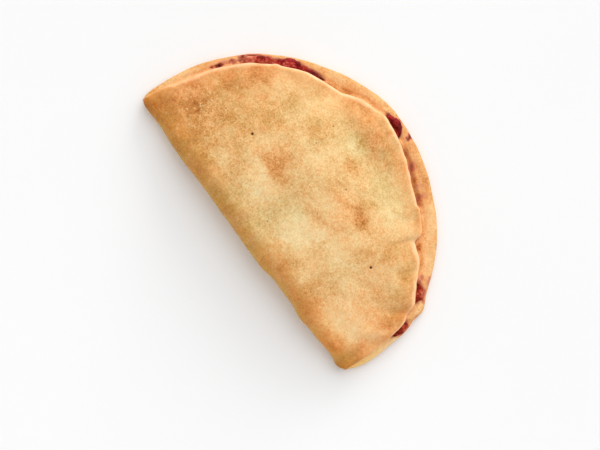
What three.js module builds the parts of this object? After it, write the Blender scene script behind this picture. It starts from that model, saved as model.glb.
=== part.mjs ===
// A calzone: one round of pizza dough folded over a tomato filling, pressed shut along its rim and baked.
// Millimetres, +Z up. The fold runs along X at the back (+Y) and the rim faces the front (-Y).
// The origin is the bottom centre of the whole body. Shapes are worked out about the centre of the round.
import * as THREE from 'three';

// Driving sizes
const ROUND_RADIUS = 115.3;    // the lower leaf's rim
const FOLD_BACK = 12.6;        // how far behind the round's centre the fold lies at the corners
const FOLD_BOW = 2.7;          // how much further back it lies at its middle
const FOLD_HALF_LENGTH = 110;
const DOUGH = 4.6;             // thickness of each leaf
const CROWN_HEIGHT = 27;       // the tallest place
const CROWN_REACH = 72;        // distance from the upper leaf's edge to the tallest place
const MEAN_EDGE = 107;         // the upper leaf's radius without its pinches
const PRESSED_GAP = 0.9;       // what keeps the leaves apart where they are only pressed together
const SEAL_DEPTH = 11;         // the seal starts this far inside the upper leaf's edge
const CURL = 0.9;              // how far the lower leaf's rim curls up off the plate
const CURL_WIDTH = 9;
const LEFT_REACH = 10;         // how far from the left corner the outline starts to turn
const RIGHT_REACH = 6;
const POCKET_START = 24;       // the leaves are one mass where they are shorter than this
const CLEARANCE = 0.35;        // between the filling and the dough

// Proportions of the folded section
const RISE_POWER = 1.15;       // above 1 the body rises more slowly at its edge
const FOLD_MIDDLE = 0.46;      // height of the fold's outermost line, as a share of the body's
const FOLD_BEND = 0.5;         // how far in the fold's rounding reaches, as a share of the body's height
const UNDER_BEND = 0.75;       // and below it, as a share of that
const LEAST_POCKET = 0.6;      // height of the pocket where the leaves come closest
const LEAST_LEAF = 1.5;        // thickness of the upper leaf where it is thinnest
const LEAST_SLANT = 0.35;      // the cuts near the corners count as no steeper than this to the outline
const MIDDLE_BLEND = [3, 24];  // where depths change from the upper leaf's edge to the mean round
const SWELL_BLEND = [2, 14];   // where the upper face's swells set in

// Resolution
const STATIONS = 72;           // cuts across the body, from the left corner to the right one
const FIRST_CUT = 1.2;         // distance of the first and last cut from their corner, along the rim
const CROWDED = 2.2;           // how much closer the cuts stand where the rim changes
const CROWD_REACH = 3;         // and over how many degrees

// Rim angles are in degrees from straight ahead (-Y), positive to the right (+X).
// Each swell moves an outline by a number of millimetres about one place.
const RIM_SWELLS = [
  { at: -97, spread: 9, by: -7.3 },
  { at: -88, spread: 4, by: 0.7 },
  { at: -81, spread: 5, by: -1.4 },
  { at: -71, spread: 2, by: 0.5 },
  { at: -67, spread: 1.8, by: -1.2 },
  { at: -64, spread: 3.2, by: 3.1 },
  { at: -25, spread: 6, by: -0.9 },
  { at: 7.5, spread: 7, by: 1.6 },
  { at: 34, spread: 6, by: -0.6 },
  { at: 57, spread: 4, by: 0.7 },
  { at: 80, spread: 12, by: 1.4 },
  { at: 94, spread: 5, by: 1.3 },
];

// The fold's edge waves a little: places are X in millimetres.
const FOLD_SWELLS = [
  { at: -101, spread: 4, by: 1.2 },
  { at: -91, spread: 6, by: -0.7 },
  { at: -72, spread: 4, by: -0.4 },
  { at: -61, spread: 4, by: 0.4 },
  { at: -50, spread: 4, by: -1.3 },
  { at: -42, spread: 5, by: -1.1 },
  { at: -31, spread: 5, by: -1.5 },
  { at: 40, spread: 35, by: -0.6 },
  { at: 72, spread: 9, by: 0.3 },
  { at: 109, spread: 5, by: 0.7 },
];

// How far the upper leaf's edge stands back from the lower leaf's rim: [rim angle, millimetres].
const UPPER_EDGE = [
  [-97, 1.4], [-88, 3.6], [-80, 4.5], [-69, 4.6], [-65, 6.6], [-58, 7.4], [-55, 8.6], [-50, 9.6], [-46, 10.6],
  [-35, 10.3], [-29.2, 10.2], [-27.2, 11.7], [-20, 12.2], [-15, 11.7], [-10, 10.2], [-4, 8.4], [2, 7.8],
  [5.5, 7.0], [10, 8.6], [20, 7.3], [31, 8.8], [38, 7.5], [46.4, 7.3], [48.2, 6.5], [50.6, 7.0], [54, 7.1],
  [58, 6.4], [64, 6.1], [76, 6.7], [83, 5.8], [88, 4.2], [97, 1.8],
];
const UPPER_EDGE_PINCHES = [
  { at: -42.6, spread: 2.2, by: 3.2 },
  { at: -40.8, spread: 0.9, by: 1.5 },
  { at: 23, spread: 4.2, by: 3.2 },
];

// Where the rim gapes: lift raises the upper leaf's edge, and bare is the rim left in front of the filling
// towards the opening's two ends.
const OPENINGS = [
  { from: -75.2, to: -67.8, lift: 2.5, bare: [1.5, 1.5] },
  { from: -61.5, to: -54.0, lift: 2.3, bare: [2.6, 3.6] },
  { from: -3.2, to: 6.0, lift: 3.2, bare: [1.8, 1.8] },
  { from: 30.5, to: 58.5, lift: 2.6, bare: [5.0, 1.4] },
];
// Where the upper leaf's edge only overhangs, with the seal behind it.
const OVERHANG = { from: -28.2, to: -7, lift: 1.1 };
const LIFT_FADE = 5.5;         // degrees over which a lift fades
const LIFT_OVER = 1.2;         // degrees by which it reaches past an opening's ends
const LIFT_REACH = 11;         // millimetres over which it fades inwards
const OVERHANG_REACH = 7;

const BEAD = 1.3;              // how far the lower leaf's bare strip swells up
const BEAD_BLEND = [0.3, 4];   // where the swelling sets in, from the upper leaf's edge outwards
const STRIP_ROUND = 4.6;       // how far in the strip's rounded edge reaches

// Swells of the upper face: the filling's lumps, a shallow valley and the puffed border in front of it.
const UPPER_SWELLS = [
  { x: -8, y: -82, wide: 24, deep: 7, by: -1.5 },
  { x: 4, y: -98, wide: 22, deep: 7, by: 1.3 },
  { x: -62, y: -56, wide: 15, deep: 13, by: 1.5 },
  { x: -24, y: -48, wide: 20, deep: 13, by: 0.9 },
  { x: 34, y: -58, wide: 22, deep: 14, by: 1.0 },
  { x: 76, y: -30, wide: 18, deep: 13, by: 0.8 },
];

const SAUCE_THICKNESS = 2.3;   // of the filling where it lies in front of the upper leaf
const SAUCE_FRONT = 4.4;       // how far back its rounded front reaches
const DRAWN_BACK = 2.6;        // how much further from the rim its front lies at an opening's ends
const DRAWN_OVER = 3;          // and over how many degrees
const NOSE_STEPS = [7, 3.5, 1.6, 0.7, 0.25];   // depths behind the filling's front where the rim is sealed
const LEAST_FILLING = 0.3;     // thickness of the filling at its thinnest
const BEHIND_SEAL = 0.6;       // how far the filling stays back from the seal

const radians = THREE.MathUtils.degToRad;
const smooth = THREE.MathUtils.smoothstep;

function bell(value, at, spread) {
  return Math.exp(-0.5 * ((value - at) / spread) ** 2);
}

function swelling(value, swells) {
  return swells.reduce((sum, swell) => sum + swell.by * bell(value, swell.at, swell.spread), 0);
}

function window(value, from, to, edge) {
  return smooth(value, from - edge / 2, from + edge / 2) * (1 - smooth(value, to - edge / 2, to + edge / 2));
}

// 0 at the edge of something round, 1 once the depth reaches its radius.
function roundness(depth, radius) {
  const inside = THREE.MathUtils.clamp(depth / radius, 0, 1);
  return Math.sqrt(1 - (1 - inside) ** 2);
}

// Between the values of a table of [place, value] pairs, in straight or in eased steps.
function readOff(table, place, ease = (share) => share) {
  const next = table.findIndex(([at]) => at >= place);
  if (next < 0) return table.at(-1)[1];
  if (next === 0) return table[0][1];
  const [before, low] = table[next - 1];
  const [after, high] = table[next];
  return THREE.MathUtils.lerp(low, high, ease((place - before) / (after - before)));
}

function eased(share) {
  return smooth(share, 0, 1);
}

// Outlines

function rimRadius(angle) {
  return ROUND_RADIUS + swelling(angle, RIM_SWELLS);
}

function rimPoint(angle) {
  const radius = rimRadius(angle);
  return new THREE.Vector2(radius * Math.sin(radians(angle)), -radius * Math.cos(radians(angle)));
}

function upperRadius(angle) {
  return rimRadius(angle) - readOff(UPPER_EDGE, angle, eased) - swelling(angle, UPPER_EDGE_PINCHES);
}

function foldPoint(x) {
  const bow = FOLD_BOW * (1 - (x / FOLD_HALF_LENGTH) ** 2);
  return new THREE.Vector2(x, FOLD_BACK + bow + swelling(x, FOLD_SWELLS));
}

function rimAngle(point) {
  return THREE.MathUtils.radToDeg(Math.atan2(point.x, -point.y));
}

// The value between low and high where a rising measure passes zero.
function whereZero(measure, low, high) {
  let [from, to] = [low, high];
  for (let step = 0; step < 40; step += 1) {
    const middle = (from + to) / 2;
    if (measure(middle) < 0) from = middle;
    else to = middle;
  }
  return (from + to) / 2;
}

// Where the rim meets the fold, on the side of X given: the turn of the outline there is the sum of the two
// unit directions that leave the corner.
function cornerOn(side, reach) {
  const overFold = (turn) => {
    const point = rimPoint(side * turn);
    return point.y - foldPoint(point.x).y;
  };
  const angle = side * whereZero(overFold, 85, 105);
  const point = rimPoint(angle);
  const alongRim = rimPoint(angle - side).sub(point).normalize();
  const alongFold = foldPoint(point.x - side).sub(point).normalize();
  return { angle, point, reach, inward: alongRim.add(alongFold) };
}

const LEFT = cornerOn(-1, LEFT_REACH);
const RIGHT = cornerOn(1, RIGHT_REACH);
const RIM_LENGTH = radians(RIGHT.angle - LEFT.angle) * ROUND_RADIUS;
const FOLD_LENGTH = RIGHT.point.x - LEFT.point.x;

// A cut across the body at a share of the rim's length, from the fold's edge to the rim. The cuts fan out:
// they leave each corner evenly along both of its sides.
function cutAt(share) {
  const fan = (RIM_LENGTH / FOLD_LENGTH - 1) * Math.sin(2 * Math.PI * share) / (2 * Math.PI);
  const back = foldPoint(LEFT.point.x + FOLD_LENGTH * (share + fan));
  const front = rimPoint(THREE.MathUtils.lerp(LEFT.angle, RIGHT.angle, share));
  const corner = share < 0.5 ? LEFT : RIGHT;
  const fromCorner = RIM_LENGTH * Math.min(share, 1 - share);
  const turn = 0.5 * Math.max(0, 1 - fromCorner / corner.reach);
  const shift = corner.inward.clone().multiplyScalar(turn * turn * corner.reach);
  back.add(shift);
  front.add(shift);

  const across = front.clone().sub(back);
  const length = across.length();
  const heading = across.clone().divideScalar(length);
  const pointAt = (part) => back.clone().addScaledVector(across, part);
  const insideUpper = (part) => {
    const point = pointAt(part);
    return upperRadius(rimAngle(point)) - point.length();
  };
  const edge = whereZero((part) => -insideUpper(part), 0, 1);
  const seal = whereZero((part) => SEAL_DEPTH - insideUpper(part), 0, edge);
  const foldSlant = Math.max(LEAST_SLANT, -heading.y);
  const rimSlant = Math.max(LEAST_SLANT, heading.dot(front.clone().normalize()));
  return { angle: rimAngle(front), length, pointAt, edge, seal, foldSlant, rimSlant };
}

// Heights over one cut, at a part of its length

function liftAt(angle, inside) {
  const lifted = ({ from, to, lift }) => lift * window(angle, from - LIFT_OVER, to + LIFT_OVER, LIFT_FADE);
  const gaping = OPENINGS.reduce((sum, open) => sum + lifted(open), 0);
  return gaping * bell(inside, 0, LIFT_REACH) + lifted(OVERHANG) * bell(inside, 0, OVERHANG_REACH);
}

function swellAt(point, inside) {
  const sum = UPPER_SWELLS.reduce((total, swell) =>
    total + swell.by * bell(point.x, swell.x, swell.wide) * bell(point.y, swell.y, swell.deep), 0);
  return sum * smooth(inside, ...SWELL_BLEND);
}

function measuresAt(cut, part) {
  const point = cut.pointAt(part);
  const fromFold = part * cut.length * cut.foldSlant;
  const insideUpper = Math.max(0, (cut.edge - part) * cut.length * cut.rimSlant);
  const outside = Math.max(0, (part - cut.edge) * cut.length * cut.rimSlant);
  const insideLower = (1 - part) * cut.length * cut.rimSlant;
  const pressed = 2 * DOUGH + PRESSED_GAP;
  const insideRound = Math.max(0, MEAN_EDGE - point.length());
  const inside = THREE.MathUtils.lerp(insideUpper, insideRound, smooth(insideUpper, ...MIDDLE_BLEND));
  const rise = Math.sin(Math.PI / 2 * Math.min(1, inside / CROWN_REACH)) ** RISE_POWER;
  const crown = pressed + (CROWN_HEIGHT - pressed) * rise
    + swellAt(point, insideUpper) + liftAt(cut.angle, insideUpper);
  const middle = Math.max(FOLD_MIDDLE * crown, DOUGH + LEAST_POCKET / 2);
  return { fromFold, insideUpper, outside, insideLower, crown, middle, bend: FOLD_BEND * crown };
}

// The four faces of the folded dough: the top, the underside and the two faces of the pocket.
function heightsAt(cut, part) {
  const m = measuresAt(cut, part);
  const outer = roundness(m.fromFold, m.bend);
  const under = roundness(m.fromFold, UNDER_BEND * m.bend);
  const inner = roundness(m.fromFold - DOUGH, Math.max(1, m.bend - DOUGH));
  const curl = CURL * (1 - Math.min(1, m.insideLower / CURL_WIDTH)) ** 2;
  const upperTip = roundness(m.insideUpper, DOUGH / 2);
  const lowerTip = roundness(m.insideLower, DOUGH / 2);
  const stripTip = m.outside > 0 ? roundness(m.insideLower, STRIP_ROUND) : 1;
  const bead = BEAD * smooth(m.outside, ...BEAD_BLEND);

  const top = m.middle + (m.crown - m.middle) * outer;
  const floor = m.middle - (m.middle - DOUGH) * inner + curl;
  const ceiling = Math.max(m.middle + (m.crown - DOUGH - m.middle) * inner, floor + LEAST_POCKET);
  const underside = m.middle * (1 - under) + curl;
  const upperCentre = (Math.max(top, ceiling + LEAST_LEAF) + ceiling) / 2;
  const lowerCentre = (floor + bead + underside) / 2;
  return {
    top: upperCentre + (top - upperCentre) * upperTip,
    ceiling: upperCentre + (ceiling - upperCentre) * upperTip,
    floor: lowerCentre + (floor + bead - lowerCentre) * Math.min(lowerTip, stripTip),
    underside: lowerCentre + (underside - lowerCentre) * lowerTip,
  };
}

// Places along a cut

const BEND_STEPS = [22, 45, 67].map((angle) => 1 - Math.cos(radians(angle)));
const TIP_DEPTHS = [2.2, 0.66];   // depths at which a leaf's rounded tip has corners
const TIP_STEPS = TIP_DEPTHS.map((depth) => depth / SEAL_DEPTH);
const SEAL_END = 0.36;         // the seal ends at this share of its depth behind the upper leaf's edge

function spread(from, to, count) {
  return Array.from({ length: count }, (_, step) => from + (to - from) * (step + 1) / (count + 1));
}

function placesOn(cut) {
  const depth = cut.length * cut.foldSlant;
  const bend = Math.min(measuresAt(cut, 0.5 * cut.edge).bend / depth, 0.45 * cut.edge);
  const seal = Math.max(cut.seal, bend + 0.15 * (cut.edge - bend));
  const apex = Math.min(DOUGH / depth, 0.8 * bend);
  const fromEdge = (share) => cut.edge - (cut.edge - seal) * share;
  const fromRim = (inwards) => 1 - Math.min(inwards / (cut.length * cut.rimSlant), 0.5 * (1 - cut.edge));
  const body = spread(bend, seal, 4);
  const sealEnd = fromEdge(SEAL_END);
  const lip = TIP_STEPS.map(fromEdge);
  const tip = TIP_DEPTHS.map(fromRim);
  return {
    upper: [...BEND_STEPS.map((step) => bend * step), bend, ...body, seal, sealEnd, ...lip, cut.edge],
    pocket: [apex, apex + 0.4 * (bend - apex), bend, ...body, seal, sealEnd, ...lip, cut.edge],
    strip: [(cut.edge + tip[0]) / 2, ...tip],
    under: [...tip.slice().reverse(), seal, ...spread(seal, bend, 2), bend,
      ...BEND_STEPS.slice().reverse().map((step) => bend * step)],
    apex,
    seal,
  };
}

// The floor and the ceiling of the pocket on one cut, as [place, height] pairs.
function pocketOn(cut, places) {
  const heights = (face, parts) => parts.map((part) => [part, heightsAt(cut, part)[face]]);
  const apex = [places.apex, heightsAt(cut, places.apex).floor];
  const lip = [cut.edge, heightsAt(cut, cut.edge).top];
  return {
    floor: [apex, ...heights('floor', [...places.pocket.slice(1), ...places.strip, 1])],
    ceiling: [apex, ...heights('ceiling', places.pocket.slice(1, -1)), lip],
  };
}

const SEAL_COLUMN = 7;         // the pocket's place where the seal starts
const LIP_COLUMN = 8;          // and the one where it ends

// Faces

// Gathers corners and faces, and closes them into one mesh.
class Skin {
  constructor() {
    this.positions = [];
    this.faces = [];
  }

  corner(cut, part, height) {
    const point = cut.pointAt(part);
    this.positions.push(point.x, point.y, height);
    return this.positions.length / 3 - 1;
  }

  // A face with three or four corners, of which two may be the same.
  face(...corners) {
    const ring = corners.filter((corner, place) => corner !== corners[(place + 1) % corners.length]);
    if (ring.length > 2) this.faces.push(ring[0], ring[1], ring[2]);
    if (ring.length > 3) this.faces.push(ring[0], ring[2], ring[3]);
  }

  // A flat end over a ring of corners that stand on one cut, as a fan about their middle.
  cap(ring) {
    const middle = [0, 1, 2].map((axis) =>
      ring.reduce((sum, corner) => sum + this.positions[3 * corner + axis], 0) / ring.length);
    this.positions.push(...middle);
    const hub = this.positions.length / 3 - 1;
    ring.forEach((corner, place) => this.face(corner, ring[(place + 1) % ring.length], hub));
  }

  geometry() {
    const geometry = new THREE.BufferGeometry();
    geometry.setAttribute('position', new THREE.Float32BufferAttribute(this.positions, 3));
    geometry.setIndex(this.faces);
    geometry.computeVertexNormals();
    return geometry;
  }
}

const RIM_SAMPLES = 1200;      // along the rim, from which the cuts' places are read

// The cuts stand closer together near the corners, the openings' ends and the pinches.
function cutsAcross() {
  const first = FIRST_CUT / RIM_LENGTH;
  const crowds = [LEFT.angle, RIGHT.angle, ...OPENINGS.flatMap(({ from, to }) => [from, to]),
    ...UPPER_EDGE_PINCHES.map(({ at }) => at)];
  const density = (angle) => 1 + CROWDED * Math.max(...crowds.map((at) => bell(angle, at, CROWD_REACH)));
  let total = 0;
  const table = Array.from({ length: RIM_SAMPLES + 1 }, (_, step) => {
    const share = first + (1 - 2 * first) * step / RIM_SAMPLES;
    total += step > 0 ? density(THREE.MathUtils.lerp(LEFT.angle, RIGHT.angle, share)) : 0;
    return [total, share];
  });
  return Array.from({ length: STATIONS }, (_, station) =>
    cutAt(readOff(table, total * station / (STATIONS - 1))));
}

function isOpen(angle) {
  return OPENINGS.some((open) => angle > open.from && angle < open.to);
}

// The dough: one loop of corners on every cut, from the lower leaf's tip round the fold to the upper leaf's
// tip and back through the pocket. Where the leaves are sealed the pocket's faces are left out.
function crustGeometry(cuts) {
  const skin = new Skin();
  const rings = cuts.map((cut) => {
    const places = placesOn(cut);
    const pocket = pocketOn(cut, places);
    const add = ([part, height]) => skin.corner(cut, part, height);
    const face = (name, parts) => parts.map((part) => add([part, heightsAt(cut, part)[name]]));
    const under = face('underside', places.under);
    const upper = face('top', [0, ...places.upper]);
    const low = pocket.floor.map(add);
    const lowerTip = low.at(-1);
    return {
      outside: [lowerTip, ...under, ...upper],
      ceiling: [low[0], ...pocket.ceiling.slice(1, -1).map(add), upper.at(-1)],
      floor: low.slice(0, places.pocket.length),
      strip: low.slice(places.pocket.length - 1),
    };
  });

  const columns = rings[0].floor.length - 1;
  const isSealed = (station, column) => {
    if (column >= LIP_COLUMN) return false;
    const pair = [cuts[station], cuts[station + 1]];
    if (pair.some((cut) => cut.length < POCKET_START)) return true;
    return column >= SEAL_COLUMN && !pair.every((cut) => isOpen(cut.angle));
  };
  const bridge = (from, to, near, far) => {
    for (let place = 0; place + 1 < near.length; place += 1) {
      if (from <= place && place < to) skin.face(near[place], near[place + 1], far[place + 1], far[place]);
    }
  };

  for (let station = 0; station + 1 < cuts.length; station += 1) {
    const [near, far] = [rings[station], rings[station + 1]];
    bridge(0, near.outside.length, near.outside, far.outside);
    bridge(0, near.strip.length, near.strip, far.strip);
    for (let column = 0; column < columns; column += 1) {
      const here = isSealed(station, column);
      if (!here) {
        const [nearTop, farTop] = [near.ceiling, far.ceiling];
        bridge(column, column + 1, near.floor, far.floor);
        skin.face(nearTop[column + 1], nearTop[column], farTop[column], farTop[column + 1]);
      }
      const next = column + 1;
      if (next < columns && here !== isSealed(station, next)) {
        const wall = [near.floor[next], far.floor[next], far.ceiling[next], near.ceiling[next]];
        skin.face(...(here ? wall : wall.reverse()));
      }
      if (station + 2 < cuts.length && here !== isSealed(station + 1, column)) {
        const wall = [far.floor[next], far.floor[column], far.ceiling[column], far.ceiling[next]];
        skin.face(...(here ? wall : wall.reverse()));
      }
    }
  }

  const endRing = ({ outside, ceiling, floor, strip }) => [
    ...outside,
    ...ceiling.slice(LIP_COLUMN, -1).reverse(),
    ...floor.slice(LIP_COLUMN, -1),
    ...strip.slice(0, -1),
  ];
  skin.cap(endRing(rings[0]).reverse());
  skin.cap(endRing(rings.at(-1)));
  return skin.geometry();
}

// How far along a cut the filling reaches: behind the seal, or out of the rim where it gapes.
function fillingFront(cut, seal, isOut) {
  if (!isOut) return seal - BEHIND_SEAL / (cut.length * cut.rimSlant);
  const { from, to, bare } = OPENINGS.find((open) => cut.angle > open.from && cut.angle < open.to);
  const drawn = DRAWN_BACK * (1 - roundness(Math.min(cut.angle - from, to - cut.angle), DRAWN_OVER));
  return 1 - (THREE.MathUtils.mapLinear(cut.angle, from, to, ...bare) + drawn) / (cut.length * cut.rimSlant);
}

function fillingGeometry(cuts) {
  const skin = new Skin();
  const neighbours = (station) => cuts.slice(Math.max(0, station - 1), station + 2);
  const stations = cuts.map((cut, station) => station)
    .filter((station) => neighbours(station).every((cut) => cut.length >= POCKET_START));
  const rings = stations.map((station) => {
    const cut = cuts[station];
    const places = placesOn(cut);
    const pocket = pocketOn(cut, places);
    const isOut = neighbours(station).every(({ angle }) => isOpen(angle));
    const front = fillingFront(cut, places.seal, isOut);
    const body = places.pocket.slice(1, SEAL_COLUMN);
    const reach = cut.length * cut.rimSlant;
    const nose = isOut
      ? [places.seal, ...spread(places.seal, front, 4)]
      : NOSE_STEPS.map((depth) => Math.max(front - depth / reach, (body.at(-1) + front) / 2));
    const parts = [...body, ...nose];
    const floor = parts.map((part) => readOff(pocket.floor, part) + CLEARANCE);
    const ceiling = parts.map((part, place) => {
      const free = part < cut.edge ? readOff(pocket.ceiling, part) - CLEARANCE - floor[place] : Infinity;
      const inFront = (front - part) * reach;
      const thick = isOut
        ? Math.min(free, part > places.seal ? SAUCE_THICKNESS * roundness(inFront, SAUCE_FRONT) : free)
        : free * roundness(inFront, NOSE_STEPS[0]);
      return floor[place] + Math.max(LEAST_FILLING, thick);
    });
    const back = skin.corner(cut, places.apex + 2 * CLEARANCE / cut.length, pocket.floor[0][1]);
    const low = parts.map((part, place) => skin.corner(cut, part, floor[place]));
    const tip = skin.corner(cut, front, readOff(pocket.floor, front) + CLEARANCE + LEAST_FILLING / 2);
    const high = parts.map((part, place) => skin.corner(cut, part, ceiling[place])).reverse();
    return [back, ...low, tip, ...high];
  });
  for (let station = 0; station + 1 < rings.length; station += 1) {
    const [near, far] = [rings[station], rings[station + 1]];
    near.forEach((corner, place) => {
      const next = (place + 1) % near.length;
      skin.face(corner, far[place], far[next], near[next]);
    });
  }
  skin.cap(rings[0]);
  skin.cap(rings.at(-1).slice().reverse());
  return skin.geometry();
}

// Materials

function bakedDough() {
  return new THREE.MeshStandardMaterial({ color: '#e6b87c', roughness: 0.78, metalness: 0 });
}

function tomatoFilling() {
  return new THREE.MeshStandardMaterial({ color: '#8c3222', roughness: 0.4, metalness: 0 });
}

function named(name, geometry, material) {
  const mesh = new THREE.Mesh(geometry, material);
  mesh.name = name;
  return mesh;
}

function calzone() {
  const cuts = cutsAcross();
  const body = new THREE.Group();
  body.add(named('crust', crustGeometry(cuts), bakedDough()));
  body.add(named('filling', fillingGeometry(cuts), tomatoFilling()));
  const box = new THREE.Box3().setFromObject(body);
  const centre = box.getCenter(new THREE.Vector3());
  body.position.set(-centre.x, -centre.y, -box.min.z);
  return body;
}

export default calzone();
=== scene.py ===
"""A baked calzone on a plain pale floor, seen from straight above.

Its shapes are worked out in millimetres about the centre of the dough round: the fold runs along X at the
back (+Y) and the rim faces the front (-Y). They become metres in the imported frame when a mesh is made.
"""

import math
from types import SimpleNamespace

import bmesh
import bpy
import numpy as np
from mathutils import Matrix, Vector, noise


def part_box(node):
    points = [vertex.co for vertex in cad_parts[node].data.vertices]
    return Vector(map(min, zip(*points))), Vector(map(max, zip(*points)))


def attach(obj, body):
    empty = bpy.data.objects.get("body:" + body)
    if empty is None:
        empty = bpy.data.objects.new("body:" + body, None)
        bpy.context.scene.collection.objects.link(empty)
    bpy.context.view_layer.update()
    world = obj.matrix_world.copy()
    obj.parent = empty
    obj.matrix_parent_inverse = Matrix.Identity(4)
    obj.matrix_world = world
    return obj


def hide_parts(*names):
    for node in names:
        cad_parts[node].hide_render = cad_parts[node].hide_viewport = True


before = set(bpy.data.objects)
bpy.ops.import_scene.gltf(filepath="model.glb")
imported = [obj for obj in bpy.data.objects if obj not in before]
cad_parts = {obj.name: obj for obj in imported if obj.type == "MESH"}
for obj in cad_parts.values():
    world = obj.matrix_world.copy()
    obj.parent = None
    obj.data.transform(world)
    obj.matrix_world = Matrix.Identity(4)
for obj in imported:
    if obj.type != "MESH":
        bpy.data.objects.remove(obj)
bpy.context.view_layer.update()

MM = 0.001

# Sizes of the dough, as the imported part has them
ROUND_RADIUS = 115.3  # the lower leaf's rim
FOLD_BACK = 12.6  # from the round's centre back to the fold at the corners
FOLD_BOW = 2.7  # how much further back it lies at its middle
FOLD_HALF_LENGTH = 110
DOUGH = 4.6  # thickness of each leaf
CROWN_HEIGHT = 27  # the tallest place
CROWN_REACH = 72  # from the upper leaf's edge to there
MEAN_EDGE = 107  # the upper leaf's radius without its pinches
PRESSED_GAP = 0.9  # between the leaves where they are pressed together
SEAL_DEPTH = 11  # the seal starts this far inside the upper leaf's edge
CURL = 0.9  # how far the lower leaf's rim curls up off the floor
CURL_WIDTH = 9
LEFT_REACH = 10  # how far from a corner the outline turns in
RIGHT_REACH = 6
CORNER_TURN = 0.5  # and how strongly
CORNER_SEARCH = (85, 105)  # the rim angles between which a corner lies
POCKET_START = 24  # cuts shorter than this hold no filling

# Proportions of the folded section
RISE_POWER = 1.15  # above 1 the body rises slowly at its edge
FOLD_MIDDLE = 0.46  # height of the fold's outermost line, of the body's
FOLD_BEND = 0.5  # how far in its rounding reaches, of the body's height
UNDER_BEND = 0.75  # and below that line, of the same
LEAST_POCKET = 0.6  # the pocket's least height
LEAST_BEND = 1  # the least radius of its back
LEAST_LEAF = 1.5  # the upper leaf's least thickness
LEAST_SLANT = 0.35  # how square to the outline a cut counts at least
MIDDLE_BLEND = (3, 24)  # depth from the upper leaf's edge turns into that from the mean round
SWELL_BLEND = (2, 14)  # where the upper face's swells set in
FUSED_GROOVE = 0.4  # share of the step that stays where the leaves are fused
FILLET = 1.5  # how far out the step is filled there
BEAD = 1.3  # the lower leaf's strip swells by this much
BEAD_BLEND = (0.3, 4.0)  # from and to, outside the upper leaf's edge
STRIP_ROUND = 4.6  # how far in its rounded edge reaches
EDGE_BEAD = (0.36, 2.2, 1.4)  # the upper leaf's edge swells: height, depth, half width
HANG_GROOVE = (0.6, 2.6)  # depth and width of the groove under the overhanging edge
GROOVE_FADE = (0.4, 1.6)  # it fades between these shares of its width
SHUT_BLEND = (0.4, 2.6)  # the pocket closes between these depths,
HANG_SHUT_BLEND = (5, 8)  # or between these where the edge overhangs,
SEAL_FADE = (-1.5, 2)  # and opens again between these, counted from the seal's depth
SEALED_GAP = 0.02  # height of the pocket where it is shut

# Rim angles are in degrees from straight ahead (-Y), positive to the right (+X).
# Each swell moves an outline about one place: (place, spread, millimetres).
RIM_SWELLS = [(-97, 9, -7.3), (-88, 4, 0.7), (-81, 5, -1.4), (-71, 2, 0.5), (-67, 1.8, -1.2), (-64, 3.2, 3.1),
              (-25, 6, -0.9), (7.5, 7, 1.6), (34, 6, -0.6), (57, 4, 0.7), (80, 12, 1.4), (94, 5, 1.3)]
FOLD_SWELLS = [(-101, 4, 1.2), (-91, 6, -0.7), (-72, 4, -0.4), (-61, 4, 0.4), (-50, 4, -1.3), (-42, 5, -1.1),
               (-31, 5, -1.5), (40, 35, -0.6), (72, 9, 0.3), (109, 5, 0.7)]
# How far the upper leaf's edge stands back from the lower leaf's rim: {rim angle: millimetres}
UPPER_EDGE = {-97: 1.4, -88: 3.6, -80: 4.5, -69: 4.6, -65: 6.6, -58: 7.4, -55: 8.6, -50: 9.6, -46: 10.6, -35: 10.3,
              -29.2: 10.2, -27.2: 11.7, -20: 12.2, -15: 11.7, -10: 10.2, -4: 8.4, 2: 7.8, 5.5: 7, 10: 8.6, 20: 7.3,
              31: 8.8, 38: 7.5, 46.4: 7.3, 48.2: 6.5, 50.6: 7, 54: 7.1, 58: 6.4, 64: 6.1, 76: 6.7, 83: 5.8, 88: 4.2,
              97: 1.8}
EDGE_PINCHES = [(-42.6, 2.2, 3.2), (-40.8, 0.9, 1.5), (23, 4.2, 3.2)]
# Where the rim gapes: from and to, and the lift of the upper leaf's edge
OPENINGS = [(-75.2, -67.8, 2.5), (-61.5, -54, 2.3), (-3.2, 6, 3.2), (30.5, 58.5, 2.6)]
# How far from the rim the filling's front lies: {rim angle: millimetres}
SAUCE_EDGE = {-75.2: 5.2, -74.6: 1.8, -73.5: 0.7, -69.8: 0.7, -69: 1.8, -68.2: 5.5, -61.4: 7.5, -60.7: 4.3,
              -59.6: 2.6, -57: 2.6, -55.9: 4, -54.9: 6.2, -53.8: 9, -3.5: 8.5, -2.7: 6.4, -1.6: 4.2, -0.4: 2.5,
              0.9: 1.3, 2: 0.6, 2.9: 1.7, 3.9: 3.3, 4.8: 4.3, 5.7: 5.8, 6.4: 8.5, 28.5: 10, 31: 8.6, 33.2: 6.2,
              35.5: 4.7, 38.5: 4.2, 41.3: 2, 44.2: 1.2, 47: 2.5, 49.2: 3.2, 50.8: 1.6, 54.4: 1.2, 56.5: 1.8, 58.2: 2,
              59.6: 4, 60.8: 6.5}
OVERHANG = (-28.2, -7, 1.1)  # where the upper leaf's edge only overhangs
GAPE_EDGE = 2.2  # degrees over which an opening closes
LIFT_FADE = 5.5  # degrees over which a lift fades
LIFT_OVER = 1.2  # degrees by which it reaches past an opening's ends
LIFT_REACH = 11  # millimetres over which it fades inwards
OVERHANG_REACH = 7
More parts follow.
